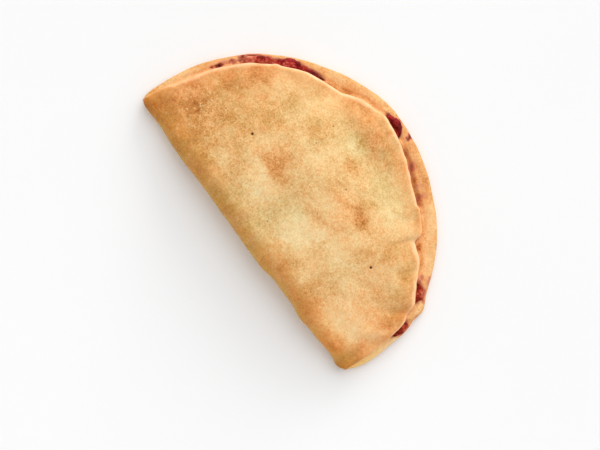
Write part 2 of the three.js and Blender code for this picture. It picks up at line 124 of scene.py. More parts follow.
# Swells of the upper face: (x, y, half width, half depth, height)
UPPER_SWELLS = [(-8, -82, 24, 7, -1.5), (4, -98, 22, 7, 1.3), (-62, -56, 15, 13, 1.5), (-24, -48, 20, 13, 0.9),
                (34, -58, 22, 14, 1), (76, -30, 18, 13, 0.8)]
SAUCE_THICKNESS = 2.3  # of the filling where it lies in front of the upper leaf
SAUCE_FRONT = 4.4  # how far back its rounded front reaches
SAUCE_TAPER = (0.35, 3.5)  # its share at an opening's ends, and degrees to full thickness

# Where the cuts are short, their parts keep to these shares
BEND_SHARE = 0.45  # at most: the fold's rounding, of the upper leaf
APEX_SHARE = 0.8  # the dough behind the pocket, of that rounding
UPPER_TIP_SHARE = 0.3  # the upper leaf's tip, of the seal
LOWER_TIP_SHARE = 0.5  # the lower leaf's tip, of its strip
OPEN_SHARE = 0.15  # at least: the open pocket, of the rest

# How finely the surfaces are cut up
DOUGH_STATIONS = 400
FILLING_STATIONS = 520
MOUTH_CROWDING = 3.0  # how much closer the filling's cuts stand at the openings
CROWDING_FADE = 4  # degrees over which that sets in
TRIAL_STATIONS = 4000  # what they are picked from
FIRST_CUT = 1.2  # from a corner along the rim
BEND_CUTS = 15  # corners on each stretch of a cut
TOP_CUTS = (78, 7)
POCKET_CUTS = (3, 8, 9, 6)
STRIP_CUTS = (14, 6)
UNDER_CUTS = (5, 26)
FRONT_CUTS = 30


def bell(value, at, spread):
    return np.exp(-0.5 * ((value - at) / spread) ** 2)


def smooth(value, low, high):
    share = np.clip((value - low) / (high - low), 0, 1)
    return share * share * (3 - 2 * share)


def lerp(low, high, share):
    return low + (high - low) * share


def mound(points, x, y, half_wide, half_deep):
    """1 over a place, fading to 0 around it."""
    return bell(points[..., 0], x, half_wide) * bell(points[..., 1], y, half_deep)


def window(value, low, high, edge):
    return smooth(value, low - edge / 2, low + edge / 2) * (1 - smooth(value, high - edge / 2, high + edge / 2))


def roundness(depth, radius):
    """0 at the edge of something round, 1 once the depth reaches its radius."""
    inside = np.clip(depth / radius, 0, 1)
    return np.sqrt(1 - (1 - inside) ** 2)


def swelling(value, swells):
    return sum(by * bell(value, at, spread) for at, spread, by in swells)


def stepped(table, place):
    """The value at a place of a table, with eased steps between its entries."""
    places, values = np.array(list(table.items()), float).T
    after = np.clip(np.searchsorted(places, place), 1, len(places) - 1)
    share = smooth(place, places[after - 1], places[after])
    return lerp(values[after - 1], values[after], share)


def ripple(points, wave, seed):
    """Smooth noise from about -1 to 1 over points in millimetres, with lumps about one wave wide."""
    shifted = np.asarray(points, float).reshape(-1, 3) / wave + seed
    return np.array([noise.noise(p) for p in shifted.tolist()]).reshape(np.shape(points)[:-1])


def layers(points, table):
    """The sum of a table's ripples: (wave, strength, seed)."""
    return sum(by * ripple(points, wave, seed) for wave, by, seed in table)


# Outlines

def rim_radius(angle):
    return ROUND_RADIUS + swelling(angle, RIM_SWELLS)


def rim_point(angle):
    turn = np.radians(angle)
    return rim_radius(angle)[..., None] * np.stack([np.sin(turn), -np.cos(turn)], -1)


def upper_radius(angle):
    return rim_radius(angle) - stepped(UPPER_EDGE, angle) - swelling(angle, EDGE_PINCHES)


def fold_point(x):
    bow = FOLD_BOW * (1 - (x / FOLD_HALF_LENGTH) ** 2)
    return np.stack([x, FOLD_BACK + bow + swelling(x, FOLD_SWELLS)], -1)


def rim_angle(points):
    return np.degrees(np.arctan2(points[..., 0], -points[..., 1]))


HALVINGS = 40


def where_zero(measure, low, high):
    """The values between low and high where a rising measure passes zero."""
    for _ in range(HALVINGS):
        middle = (low + high) / 2
        below = measure(middle) < 0
        low, high = np.where(below, middle, low), np.where(below, high, middle)
    return (low + high) / 2


def unit(vectors):
    return vectors / np.linalg.norm(vectors, axis=-1, keepdims=True)


def corner_on(side, reach):
    """Where the rim meets the fold, on the side of X given, with the way that the outline turns in there."""
    def over_fold(turn):
        point = rim_point(side * turn)
        return point[..., 1] - fold_point(point[..., 0])[..., 1]

    angle = side * where_zero(over_fold, *CORNER_SEARCH)
    point = rim_point(angle)
    along_rim = unit(rim_point(angle - side) - point)
    along_fold = unit(fold_point(point[0] - side) - point)
    return SimpleNamespace(angle=angle, point=point, reach=reach, inward=along_rim + along_fold)


LEFT, RIGHT = corner_on(-1, LEFT_REACH), corner_on(1, RIGHT_REACH)
RIM_LENGTH = math.radians(RIGHT.angle - LEFT.angle) * ROUND_RADIUS
FOLD_LENGTH = RIGHT.point[0] - LEFT.point[0]


def cuts_at(shares):
    """Cuts across the body at shares of the rim's length, from the fold's edge to the rim."""
    fan = (RIM_LENGTH / FOLD_LENGTH - 1) * np.sin(2 * np.pi * shares) / (2 * np.pi)
    from_corner = RIM_LENGTH * np.minimum(shares, 1 - shares)
    on_left = shares[:, None] < 0.5
    reach = np.where(on_left, LEFT.reach, RIGHT.reach)
    turn = CORNER_TURN * np.maximum(0, 1 - from_corner[:, None] / reach)
    shift = np.where(on_left, LEFT.inward, RIGHT.inward) * turn ** 2 * reach
    back = fold_point(LEFT.point[0] + FOLD_LENGTH * (shares + fan)) + shift
    front = rim_point(lerp(LEFT.angle, RIGHT.angle, shares)) + shift
    across = front - back
    length = np.linalg.norm(across, axis=1)

    def inside_upper(part):
        point = back + across * part[:, None]
        return upper_radius(rim_angle(point)) - np.linalg.norm(point, axis=1)

    none, whole = np.zeros(len(shares)), np.ones(len(shares))
    edge = where_zero(lambda part: -inside_upper(part), none, whole)
    seal = where_zero(lambda part: SEAL_DEPTH - inside_upper(part), none, edge)
    heading = across / length[:, None]
    columns = {
        "angle": rim_angle(front), "length": length, "edge": edge, "seal": seal,
        "fold_slant": np.maximum(LEAST_SLANT, -heading[:, 1]),
        "rim_slant": np.maximum(LEAST_SLANT, (heading * unit(front)).sum(1)),
    }
    return SimpleNamespace(back=back, across=across, **{name: value[:, None] for name, value in columns.items()})


def even_shares(count):
    first = FIRST_CUT / RIM_LENGTH
    return np.linspace(first, 1 - first, count)


def crowded_shares(count):
    """Shares of the rim's length that stand closer together at the openings."""
    fine = even_shares(TRIAL_STATIONS)
    angles = lerp(LEFT.angle, RIGHT.angle, fine)
    density = 1 + MOUTH_CROWDING * gape_at(angles, CROWDING_FADE)
    total = np.cumsum(density)
    return np.interp(np.linspace(total[0], total[-1], count), total, fine)


# Heights

def gape_at(angle, edge=GAPE_EDGE):
    """1 where the rim gapes."""
    return sum(window(angle, low, high, edge) for low, high, _ in OPENINGS)


def hang_at(angle):
    low, high, _ = OVERHANG
    return window(angle, low, high, GAPE_EDGE)


def lift_at(angle, inside):
    def lifted(low, high, lift):
        return lift * window(angle, low - LIFT_OVER, high + LIFT_OVER, LIFT_FADE)

    gaping = sum(lifted(*opening) for opening in OPENINGS)
    return gaping * bell(inside, 0, LIFT_REACH) + lifted(*OVERHANG) * bell(inside, 0, OVERHANG_REACH)


def swell_at(points, inside):
    return sum(by * mound(points, *place) for *place, by in UPPER_SWELLS) * smooth(inside, *SWELL_BLEND)


def measures_at(cuts, parts):
    points = cuts.back[:, None, :] + cuts.across[:, None, :] * parts[..., None]
    from_fold = parts * cuts.length * cuts.fold_slant
    reach = cuts.length * cuts.rim_slant
    inside_upper = np.maximum(0, (cuts.edge - parts) * reach)
    pressed = 2 * DOUGH + PRESSED_GAP
    inside_round = np.maximum(0, MEAN_EDGE - np.linalg.norm(points, axis=2))
    inside = lerp(inside_upper, inside_round, smooth(inside_upper, *MIDDLE_BLEND))
    rise = np.sin(np.pi / 2 * np.minimum(1, inside / CROWN_REACH)) ** RISE_POWER
    crown = pressed + (CROWN_HEIGHT - pressed) * rise + swell_at(points, inside_upper)
    height, depth, wide = EDGE_BEAD
    crown = crown + lift_at(cuts.angle, inside_upper) + height * bell(inside_upper, depth, wide)
    return SimpleNamespace(
        points=points, from_fold=from_fold, inside_upper=inside_upper, inside_lower=(1 - parts) * reach,
        outside=np.maximum(0, (parts - cuts.edge) * reach), crown=crown,
        middle=np.maximum(FOLD_MIDDLE * crown, DOUGH + LEAST_POCKET / 2), bend=FOLD_BEND * crown)


def heights_at(cuts, parts):
    """The folded dough's four faces: the top, the underside and the two faces of the pocket."""
    m = measures_at(cuts, parts)
    outer = roundness(m.from_fold, m.bend)
    under = roundness(m.from_fold, UNDER_BEND * m.bend)
    inner = roundness(m.from_fold - DOUGH, np.maximum(LEAST_BEND, m.bend - DOUGH))
    curl = CURL * (1 - np.minimum(1, m.inside_lower / CURL_WIDTH)) ** 2
    upper_tip = roundness(m.inside_upper, DOUGH / 2)
    lower_tip = roundness(m.inside_lower, DOUGH / 2)

    top = m.middle + (m.crown - m.middle) * outer
    floor = m.middle - (m.middle - DOUGH) * inner + curl
    ceiling = np.maximum(m.middle + (m.crown - DOUGH - m.middle) * inner, floor + LEAST_POCKET)
    underside = m.middle * (1 - under) + curl
    upper_centre = (np.maximum(top, ceiling + LEAST_LEAF) + ceiling) / 2

    fused = 1 - np.clip(gape_at(cuts.angle) + hang_at(cuts.angle), 0, 1)
    strip_tip = np.where(parts > cuts.edge, roundness(m.inside_lower, STRIP_ROUND), 1)
    raised = (fused * (1 - FUSED_GROOVE) * (upper_centre - floor) * np.exp(-m.outside / FILLET)
              * (parts >= cuts.edge))
    deep, wide = HANG_GROOVE
    in_groove = 1 - smooth(m.outside, *(share * wide for share in GROOVE_FADE))
    sunk = deep * hang_at(cuts.angle) * in_groove * (parts >= cuts.edge)
    floor = floor + raised - sunk + BEAD * smooth(m.outside, *BEAD_BLEND)

    lower_centre = (floor + underside) / 2
    faces = SimpleNamespace(
        top=lerp(upper_centre, top, upper_tip),
        ceiling=lerp(upper_centre, ceiling, upper_tip),
        floor=lerp(lower_centre, floor, np.minimum(lower_tip, strip_tip)),
        underside=lerp(lower_centre, underside, lower_tip))
    shut = np.maximum(fused * smooth(m.inside_upper, *SHUT_BLEND),
                      hang_at(cuts.angle) * smooth(m.inside_upper, *HANG_SHUT_BLEND))
    sealed = shut * (1 - smooth(m.inside_upper, *(SEAL_DEPTH + by for by in SEAL_FADE)))
    faces.ceiling = lerp(faces.ceiling, faces.floor + SEALED_GAP, sealed)
    return faces, m


# The baked surface

# Marks on the upper face: (x, y, half length, half width, turn in degrees, browner by)
MARKS = [
    # The right half, which is browner towards its corner
    (85, -28, 34, 32, 0, 0.09), (89, -12, 9, 7, 0, 0.34), (98, -22, 10, 5, 0, 0.1), (113, 0, 4, 6, 0, -0.08),
    (56, 0, 9, 4, 0, 0.14), (99, 5, 14, 7, 0, 0.1), (87, -25, 9, 7, 0, 0.08), (104, -9, 8, 6, 70, 0.12),
    (104, 5, 16, 11, 10, 0.07), (114, 11, 6, 5, 0, 0.12), (73, -7, 10, 6, 0, 0.16), (73, -25, 9, 7, 30, 0.17),
    (91, -32, 5, 4, 0, 0.12), (88, -42, 10, 8, 30, 0.12), (80, -61, 9, 8, 60, 0.2), (55, -48, 11, 8, 60, 0.16),
    (56, -64, 9, 6, 0, 0.16), (42, -8, 11, 6, 90, 0.16), (50, -18, 5, 4, 0, 0.12), (55, -31, 7, 4, 20, 0.12),
    (31, -1, 7, 4, 90, 0.08),
    # About the middle
    (26, -30, 13, 6, 8, 0.25), (27, -38, 7, 6, 0, 0.12), (33, -67, 9, 6, 10, 0.15), (25, -60, 6, 5, 0, 0.1),
    (26, -75, 6, 5, 0, 0.07), (6, -13, 7, 5, 0, 0.09), (-29, -1, 6, 5, 90, 0.13), (14, 0, 7, 4, 0, 0.07),
    # The left half, from its strongest patch outwards
    (-33, -55.5, 10, 5.5, -20, 0.17), (-31, -54.5, 7, 3.2, -25, 0.15), (-35, -56.5, 3.2, 2, 60, 0.18),
    (-42, -54.4, 4, 1.5, -8, 0.15), (-27, -65, 7, 3, 50, 0.1), (-20.5, -55, 6, 2.2, 10, 0.06),
    (-28, -38.5, 4, 1.5, 25, 0.06), (-8, -56, 10, 6, 10, 0.1), (-1, -73, 9, 5, -10, 0.23), (-29, -82, 9, 5, 0, 0.06),
    (-12, -32, 6, 4, 20, 0.13), (-51, -42, 8, 6, 90, 0.16), (-62, -59, 9, 8, 90, 0.15), (-80, -57, 7, 5, 0, 0.17),
    (-73, -65, 9, 5, -30, 0.13), (-93, -48, 12, 9, 100, 0.17), (-98, -33, 10, 6, 90, 0.26), (-79, -38, 6, 5, 0, 0.12),
    (-47, -9, 10, 5, 80, 0.15), (-56, -2, 12, 6, 0, 0.08), (-57, -86, 11, 3, -36, 0.16), (-58, -14, 5, 4, 0, 0.08),
    (-99, -7, 7, 5, 90, 0.2), (-89, 6, 5, 5, 0, 0.15),
    # The left corner
    (-103, 6, 10, 7, 90, 0.14), (-105, -15, 12, 3, 90, 0.09),
    # Above the openings and the pinch in front
    (8, -93, 25, 9, 0, 0.11), (5, -88, 10, 5, 0, 0.13), (20, -88, 6, 5, 0, 0.08), (3, -98, 7, 4, 60, 0.12),
    (-5, -100, 8, 4, 15, 0.1), (-2, -84, 20, 4, 0, 0.07), (18, -101, 15, 3.5, 12, 0.16), (-15, -94, 16, 5, -8, 0.05),
    (47, -83, 8, 4, 80, 0.12),
    # Paler places
    (-15, -18, 13, 13, 0, -0.22), (22, -18, 13, 10, -20, -0.18), (38, -22, 6, 4, 0, -0.08), (43, 4, 6, 5, 0, -0.1),
    (51, -11, 5, 4, 0, -0.08), (-62, -22, 10, 6, 0, -0.1), (-84, -8, 18, 13, 10, -0.19), (-85, 5, 7, 4, 0, -0.08),
    (-38, -31, 15, 10, 0, -0.15), (-67, -43, 6, 5, 90, -0.08), (-4, 7, 8, 4, 0, -0.08), (-16, -42, 14, 5, 0, -0.06),
    (-42, -48, 7, 6, 60, -0.12), (-40, -14, 7, 6, 0, -0.08), (-15, -60, 5, 4, 0, -0.1), (5, -78, 6, 3, 0, -0.1),
    (28, -47, 5, 5, 0, -0.08), (43, -41, 8, 5, 90, -0.11), (16, -54, 14, 7, 0, -0.1), (-45, -71, 14, 9, 20, -0.08),
    (68, -66, 9, 8, 0, -0.05), (42, -84, 10, 9, 40, -0.06), (105, -29, 6, 4, 80, -0.1),
]
# Where the browning is warmer or cooler than elsewhere: (x, y, half width, half depth, warmth)
TINTS = [
    (-99, -36, 8, 8, -0.25), (27, -32, 11, 7, 0.12), (24, 11, 20, 6, -0.1), (-40, 13, 14, 3, -0.3),
    (-108, -17, 6, 12, 0.4), (114, 2, 5, 10, -0.25), (91, -48, 6, 8, 0.25), (3, -89, 10, 4, 0.2),
    (3, -6, 10, 13, -0.5), (0, -28, 13, 10, -0.35), (28, 2, 10, 8, -0.4), (30, -24, 13, 4, -0.15),
    (12, -23, 6, 6, 0.25), (-56, -20, 13, 14, -0.25), (-43, -17, 6, 8, 0.1), (-28, -80, 16, 6, -0.45),
    (-38, -72, 7, 5, -0.35), (15, -84, 16, 5, -0.4), (20, -70, 14, 8, -0.25), (48, -66, 6, 8, -0.25),
    (-86, -47, 13, 10, -0.25), (-76, -36, 12, 8, 0.3), (-76, -64, 8, 6, -0.3), (-84, -12, 16, 10, 0.25),
    (-78, 6, 16, 6, 0.4), (-103, 3, 8, 9, -0.8), (-8, -54, 8, 5, -0.1), (-20, -53, 12, 6, 0.25),
    (-28, -39, 10, 4, 0.25), (32, -31, 9, 4, 0.3), (-10, -34, 6, 5, 0.25), (-2, -71, 7, 4, 0.2), (32, -83, 7, 5, 0.3),
    (80, -66, 6, 5, 0.35), (57, -73, 8, 5, 0.2), (24, -98, 12, 6, 0.3), (-102, -16, 6, 8, 0.3),
    (107, -15, 8, 22, 0.1), (52, -8, 5, 6, -0.2), (74, -32, 10, 5, -0.15), (9, 9, 15, 5, 0.3),
    (-36, -6, 10, 10, -0.15), (-37, 8, 14, 5, 0.25), (66, 5, 6, 8, -0.2), (50, 10, 14, 6, 0.25),
]
# How far from the fold its browning reaches: {x: millimetres}
FOLD_BROWNED = {-112: 18, -98: 15, -88: 9, -76: 6, -66: 8, -56: 13, -42: 10, -29: 13, -15: 10, 8: 8, 22: 9, 42: 12,
                58: 11, 75: 15, 95: 18, 116: 18}
# The same on the lower leaf's strip: (rim angle, depth from the rim, half along, half across, browner by);
# # the thin lines just outside the upper leaf's edge are painted shade in its crease
STRIP_MARKS = [
    # the first is paler partly as painted light, where the strip at the left corner faces away from the lamps
    (-84, 2, 20, 2.8, -0.32), (-84, 6.8, 15, 2.4, 0.14), (-54.5, 2.5, 5, 3.5, 0.16),
    (-64, 3.6, 6, 3.6, -0.16),  # the little tab between two openings
    (-50, 4, 17, 5, -0.15), (-48.5, 9.2, 8, 1.6, 0.12),
    # painted shade in the notch's recess, over some browning
    (-43.2, 12.2, 3, 1.6, 0.42),  # the notch on the left
    (-33, 4.5, 15, 5, -0.12), (-36, 9.6, 6, 1.2, 0.12), (-30.3, 9.4, 2.5, 1.6, 0.12),
    # Under the overhang
    (-21, 6, 13, 5, 0.05), (-24.8, 6, 2.6, 3, 0.16), (-25.2, 9.8, 2.4, 2.6, 0.45), (-21, 3, 5, 2, 0.12),
    (-18.5, 9.8, 1.6, 2.6, 0.24), (-13.5, 6.5, 6, 3, 0.08), (-8.8, 8.6, 1.8, 1.4, 0.3),
    # About the pinch on the right, and beyond the openings
    (14.8, 1.5, 10, 2, -0.1), (21.5, 6.5, 6, 3.2, 0.15), (22, 9, 5, 2, 0.22), (27, 3.5, 7, 3, -0.1),
    (29, 9.8, 7, 1.1, 0.26), (81, 3, 18, 4, -0.12), (96, 4, 5, 3, 0.05),
]
# Where sauce has seeped out: (rim angle, depth, half along, half across, strength, how deep it is dented)
SEEPS = [
    (-65.8, 1, 2.2, 1.4, 0.26, 0.1), (-61.7, 5.2, 1.6, 2.4, 0.22, 0), (-60.8, 1.6, 1.8, 1.6, 0.3, 0),
    (-57.8, 1.6, 4.4, 1.4, 0.34, 0), (-53.4, 6.2, 2.4, 2.6, 0.3, 0.1), (-53.6, 0.4, 4.5, 2, 0.34, 0),
    (-27, 11.2, 3.2, 0.9, 0.34, 0.2), (-25, 9.7, 2.2, 2.8, 0.36, 0.5), (-21.3, 7.2, 2.6, 2.8, 0.2, 0.1),
    (-24.4, 5.4, 2.2, 2.4, 0.18, 0.1), (-16.8, 10.6, 4, 1, 0.34, 0.1), (-13.6, 8.6, 4.2, 2.6, 0.4, 0.4),
    (-9, 9.2, 1.6, 1.1, 0.32, 0.2), (-4.3, 0.6, 2.8, 2.6, 0.66, 0.2), (-4.3, 3.8, 3, 2, 0.14, 0),
    (5.6, 4.6, 2.2, 1.8, 0.4, 0.1), (32, 8.4, 5, 0.9, 0.46, 0.2), (39, 2.8, 5, 1.4, 0.12, 0),
    (48.6, 2.2, 3, 1.2, 0.18, 0), (57.4, 1, 6, 2, 0.32, 0), (60.2, 3.4, 3, 2.9, 0.52, 0.2),
    (62.8, 4.2, 2.6, 2.2, 0.38, 0.2), (65.8, 3.2, 5, 2.4, 0.26, 0.1), (68.6, 4.9, 4.2, 1.6, 0.68, 0.3),
    (70.4, 2.6, 2.8, 1.8, 0.18, 0),
]
# Pin holes that steam has left, and brown specks: (x, y, radius); the holes' dark is painted shade
PORES = [(53.4, -32.4, 1), (-61.7, -42.2, 1), (-11.7, -59.4, 0.6), (26.3, -77.5, 0.55), (24, -62, 0.5),
         (4.8, -29.7, 0.4), (2.3, -6.6, 0.5), (-26.7, -47.8, 0.4), (-13.2, -35.1, 0.45), (-4.9, -65.7, 0.4)]
BLISTERED = (89, -13, 13, 9)  # x, y and half sizes of the place with blisters
BLISTERS = (3.4, 11.3)  # their wave and seed
BLISTER_HEIGHT = 0.7
CREASE_DEPTH = 0.7  # where the upper leaf's edge is pinched
CREASE_WIDTH = 0.9  # in degrees of the rim
CREASE_FADE = (3, 15)  # it ends between these depths from the edge
PIT = (1.1, 0.55)  # depth and width of a pin hole, as shares of its radius
PATCH_FADE = (0.35, 1.45)  # a patch fades between these shares of its half sizes

# Layers of noise: (wave, strength, seed)
TOP_RELIEF = [(27, 0.55, 3.1), (9.5, 0.3, 7.7), (5.2, 0.16, 1.3), (2.4, 0.07, 5.9)]
STRIP_RELIEF = [(11, 0.24, 2.2), (4.5, 0.17, 8.1), (2.4, 0.04, 5.9)]
UNDER_RELIEF = [(9.5, 0.12, 7.7), (2.4, 0.08, 5.9)]
RAGGED = [(9, 0.3, 4.4), (3.8, 0.26, 9.2), (2, 0.12, 0.6)]
DENTS_RAGGED = [(2.5, 0.3, 6.6)]
STAINS_RAGGED = [(3, 0.45, 3.7), (1.4, 0.35, 6.1)]
CLOUDS = [(22, 0.06, 6.3), (9, 0.07, 2.7), (3.6, 0.05, 7.9)]
STRIP_CLOUDS = [(9, 0.07, 1.9), (3.2, 0.05, 4.6)]
UNDER_CLOUDS = [(12, 0.16, 3.3), (4, 0.1, 5.5)]
HUES = [(15, 0.22, 8.8), (6, 0.16, 2.9)]
BAND_WAVER = [(14, 0.45, 2.8)]
CREASE_WAVER = [(6, 0.7, 3.6)]
HANG_WAVER = [(5, 1, 8.2)]
GOLD_WAVER = [(8, 0.6, 1.7)]
WARP = 3.0  # how far the marks' outlines are pulled about
WARP_WAVE = 13
WARP_SEEDS = (0.7, 5.1)  # along X and along Y

TOP_TOAST = 0.375  # from 0 for pale to 1 for dark brown
PAINTED_SHADE_SLOPE = (0.03, 0.05)  # painted shade: darker by this 100 mm to the right and 100 mm forwards, towards the side that the lamps light more
WARMTH_SLOPE = (-0.08, -0.26)  # and warmer by this
SLOPES_EVEN_AT = (0, -40)  # where neither adds anything
STRIP_TOAST = 0.37
UNDER_TOAST = 0.55
POCKET_TOAST = 0.62
FOLD_TOAST = 0.245
FOLD_WAVER = 6  # millimetres by which its reach wavers
FOLD_FADE = (-6, 9)  # and over which it ends
CREASE_SHADE_AND_TOAST = (0.30, 1.1)  # strength and width of the dark line by the upper leaf's edge: painted shade in the crease, with some browning
# Where along the rim it is strong: {rim angle: share}
CREASES = {-92: 0.1, -78: 0.2, -66: 0.3, -60: 1, -44: 1.1, -38: 0.5, -29: 0.4, -27: 1.7, -22: 1.1, -4: 0.8, 7: 0.1,
           13: 0.1, 19: 0.8, 30: 1.4, 58: 0.8, 70: 0.6, 75: 0.2, 97: 0.2}
CREASE_WARMTH = 0.55  # where the rest of the strip has 1
HANG_PAINTED_SHADE = (0.10, 3.0)  # strength and width of the wider painted shade under the overhang
RIM_PAINTED_SHADE = (0.14, 0.4, 1.9)  # painted shade along the rim's rounded outermost line: how much darker and cooler, and how wide
RIM_SHADE_FROM = (-80, -62)  # it sets in between these rim angles, on the side that the lamps face
STRIP_RAGGED = 0.8  # its marks are less ragged
STRIP_HUES = 0.25  # and its hues vary less than the upper leaf's
MOST_TOAST = (0.60, 0.28)  # where browning levels out, and what it still adds
BAND = (1.0, 2.9)  # the upper leaf's pale edge, unbrowned and partly a painted highlight on its rounded edge, ends between these depths
BAND_PALE = 0.12  # and is paler by this much
BAND_SMOOTH = 0.6  # share of the mottling missing on it
# How wide it is along the rim: {rim angle: share}
BAND_WIDTHS = {-88: 0.1, -79: 0.15, -72: 0.5, -68: 0.7, -61: 1.1, -54: 0.6, -46: 1.2, -38: 0.5, -29: 0.5, -27: 0.8,
               -8: 0.6, -2: 0.8, 4: 0.6, 7: 0.4, 11: 0.6, 13.5: 1.5, 18.5: 1.4, 24: 0.9, 40: 0.5, 60: 1.1, 80: 1,
               90: 0.1}
TOP_WARMTH = 0.5  # 0 for cool to 1 for warm
UNDER_WARMTH = 0.4
EDGE_WARMTH = (0.5, 9)  # how much warmer the upper leaf's edge is, and how wide
FOLD_COOLNESS = (0.35, 2.2)  # how much cooler the fold's outermost line is, and how wide

GOLDEN = (1.15, 8.0)  # how golden the fold is, and how wide
GOLD_LEVEL = 0.75  # what its waver adds to
GOLD = "fffed8"  # the fold's colour, and the strip's at the left corner, is multiplied by this
STRIP_PAINTED_LIGHT = (0.6, -88, -76)  # and painted light on the strip at the left corner, which faces away from the lamps: strength, rim angles

# Strength of the mottling on smooth dough, on browned marks and on the other faces
GRIT = (0.85, 1.02, 0.75)
FOLD_GRIT = 0.38  # share of it missing along the fold
EDGE_GRIT = (0.5, 14)  # and towards the upper leaf's edge, and how wide
GRIT_BLEND = (-0.06, 0.22)  # a mark's own mottling sets in between these strengths
MOUTH_STAIN = 0.34  # how soaked the dough is in front of the filling
MOUTH_FADE = (0, 1.8)  # which ends between these distances from it
MOUTH_RAGGED = 0.8
RELIEF_TOAST = 0.10  # browner by this for each millimetre of relief


def patch(points, x, y, half_long, half_wide, turn, ragged):
    """1 inside an ellipse whose edge is made ragged by noise, fading to 0 outside."""
    angle = math.radians(turn)
    dx, dy = points[..., 0] - x, points[..., 1] - y
    along = (dx * math.cos(angle) + dy * math.sin(angle)) / half_long
    across = (dy * math.cos(angle) - dx * math.sin(angle)) / half_wide
    return 1 - smooth(np.hypot(along, across) + ragged, *PATCH_FADE)


def rim_patch(angle, inside, at, depth, half_along, half_across, ragged):
    """The same along the rim, about a rim angle and a depth from the rim."""
    along = np.radians(angle - at) * ROUND_RADIUS / half_along
    across = (inside - depth) / half_across
    return 1 - smooth(np.hypot(along, across) + ragged, *PATCH_FADE)


TOP, CEILING, FLOOR, STRIP, UNDER = range(5)


def by_face(where, top, strip, under, elsewhere):
    return np.select([where == TOP, where == STRIP, where == UNDER], [top, strip, under], elsewhere)


def skin_relief(points, m, where):
    """How far the baked skin stands out along its normal."""
    angle = rim_angle(points)
    blisters = BLISTER_HEIGHT * np.maximum(0, ripple(points, *BLISTERS)) * mound(points, *BLISTERED)
    at_pinch = sum(bell(angle, at, CREASE_WIDTH) for at, *_ in EDGE_PINCHES[1:])
    creases = CREASE_DEPTH * at_pinch * (1 - smooth(m.inside_upper, *CREASE_FADE))
    deep, wide = PIT
    pits = sum(deep * size * bell(np.hypot(points[..., 0] - x, points[..., 1] - y), 0, wide * size)
               for x, y, size in PORES)
    top = layers(points, TOP_RELIEF) + blisters - creases - pits
    ragged = layers(points, DENTS_RAGGED)
    dents = sum(by * rim_patch(angle, m.inside_lower, *place, ragged) for *place, _, by in SEEPS)
    return by_face(where, top, layers(points, STRIP_RELIEF) - dents, layers(points, UNDER_RELIEF), 0)


def pale_band(flat, m):
    """1 along the upper leaf's edge, 0 further in."""
    width = stepped(BAND_WIDTHS, rim_angle(flat)) * (1 + layers(flat, BAND_WAVER))
    return 1 - smooth(m.inside_upper / width, *BAND)


def sloping(points, slope):
    right, forwards = points[..., 0] - SLOPES_EVEN_AT[0], SLOPES_EVEN_AT[1] - points[..., 1]
    return (slope[0] * right + slope[1] * forwards) / 100


def levelled(toast):
    start, room = MOST_TOAST
    return np.minimum(toast, start) + room * np.tanh(np.maximum(0, toast - start) / room)


def top_looks(flat, m, ragged):
    """How baked, how warm and how mottled the upper face is, with painted shade sloping towards the lamps' side,
    and where its pale band lies, pale partly as a painted highlight.
    """
    warp = [ripple(flat, WARP_WAVE, seed) for seed in WARP_SEEDS]
    warped = flat + WARP * np.stack([*warp, 0 * warp[0]], -1)
    marks = sum(by * patch(warped, *place, ragged) for *place, by in MARKS)
    clouds = layers(flat, CLOUDS)
    past_fold = m.from_fold - stepped(FOLD_BROWNED, flat[..., 0]) - FOLD_WAVER * layers(flat, RAGGED[:2])
    by_fold = 1 - smooth(past_fold, *FOLD_FADE)
    band = pale_band(flat, m)
    # the slope is painted shade, and the pale edge is partly a painted highlight
    toast = TOP_TOAST + sloping(flat, PAINTED_SHADE_SLOPE) + marks + clouds + FOLD_TOAST * by_fold - BAND_PALE * band

    warmer, reach = EDGE_WARMTH
    cooler, width = FOLD_COOLNESS
    tints = sum(by * mound(flat, *place) for *place, by in TINTS)
    warmth = (TOP_WARMTH + sloping(flat, WARMTH_SLOPE) + layers(flat, HUES) + tints
              + warmer * np.exp(-m.inside_upper / reach) - cooler * np.exp(-m.from_fold / width))

    even, browned, _ = GRIT
    missing, reach = EDGE_GRIT
    grit = (lerp(even, browned, smooth(marks + clouds, *GRIT_BLEND)) * (1 - FOLD_GRIT * by_fold)
            * (1 - missing * np.exp(-m.inside_upper / reach)) * (1 - BAND_SMOOTH * band))
    return toast, warmth, grit, band


def strip_looks(flat, m, ragged):
    """How baked and how warm the lower leaf's strip is, with painted shade in the crease, under the overhang
    and along the rim.
    """
    angle = rim_angle(flat)
    # painted shade in the crease by the upper leaf's edge
    strength, width = CREASE_SHADE_AND_TOAST
    line = np.exp(-m.outside / width) * stepped(CREASES, angle)
    crease_shade = strength * line * (1 + layers(flat, CREASE_WAVER))
    # painted shade under the overhanging edge
    strength, width = HANG_PAINTED_SHADE
    under_hang = window(angle, *OVERHANG[:2], LIFT_FADE)
    hang_shade = strength * np.exp(-m.outside / width) * under_hang * (1 + layers(flat, HANG_WAVER))
    tones = sum(by * rim_patch(angle, m.inside_lower, *place, STRIP_RAGGED * ragged) for *place, by in STRIP_MARKS)
    # painted shade along the rim's outermost line
    rim_darker, cooler, width = RIM_PAINTED_SHADE
    rim_shade = bell(m.inside_lower, 0, width) * smooth(angle, *RIM_SHADE_FROM)
    toast = STRIP_TOAST + tones + layers(flat, STRIP_CLOUDS) + crease_shade + hang_shade + rim_darker * rim_shade
    warmth = lerp(1.0, CREASE_WARMTH, np.clip(line, 0, 1)) + STRIP_HUES * layers(flat, HUES) - cooler * rim_shade
    return toast, warmth


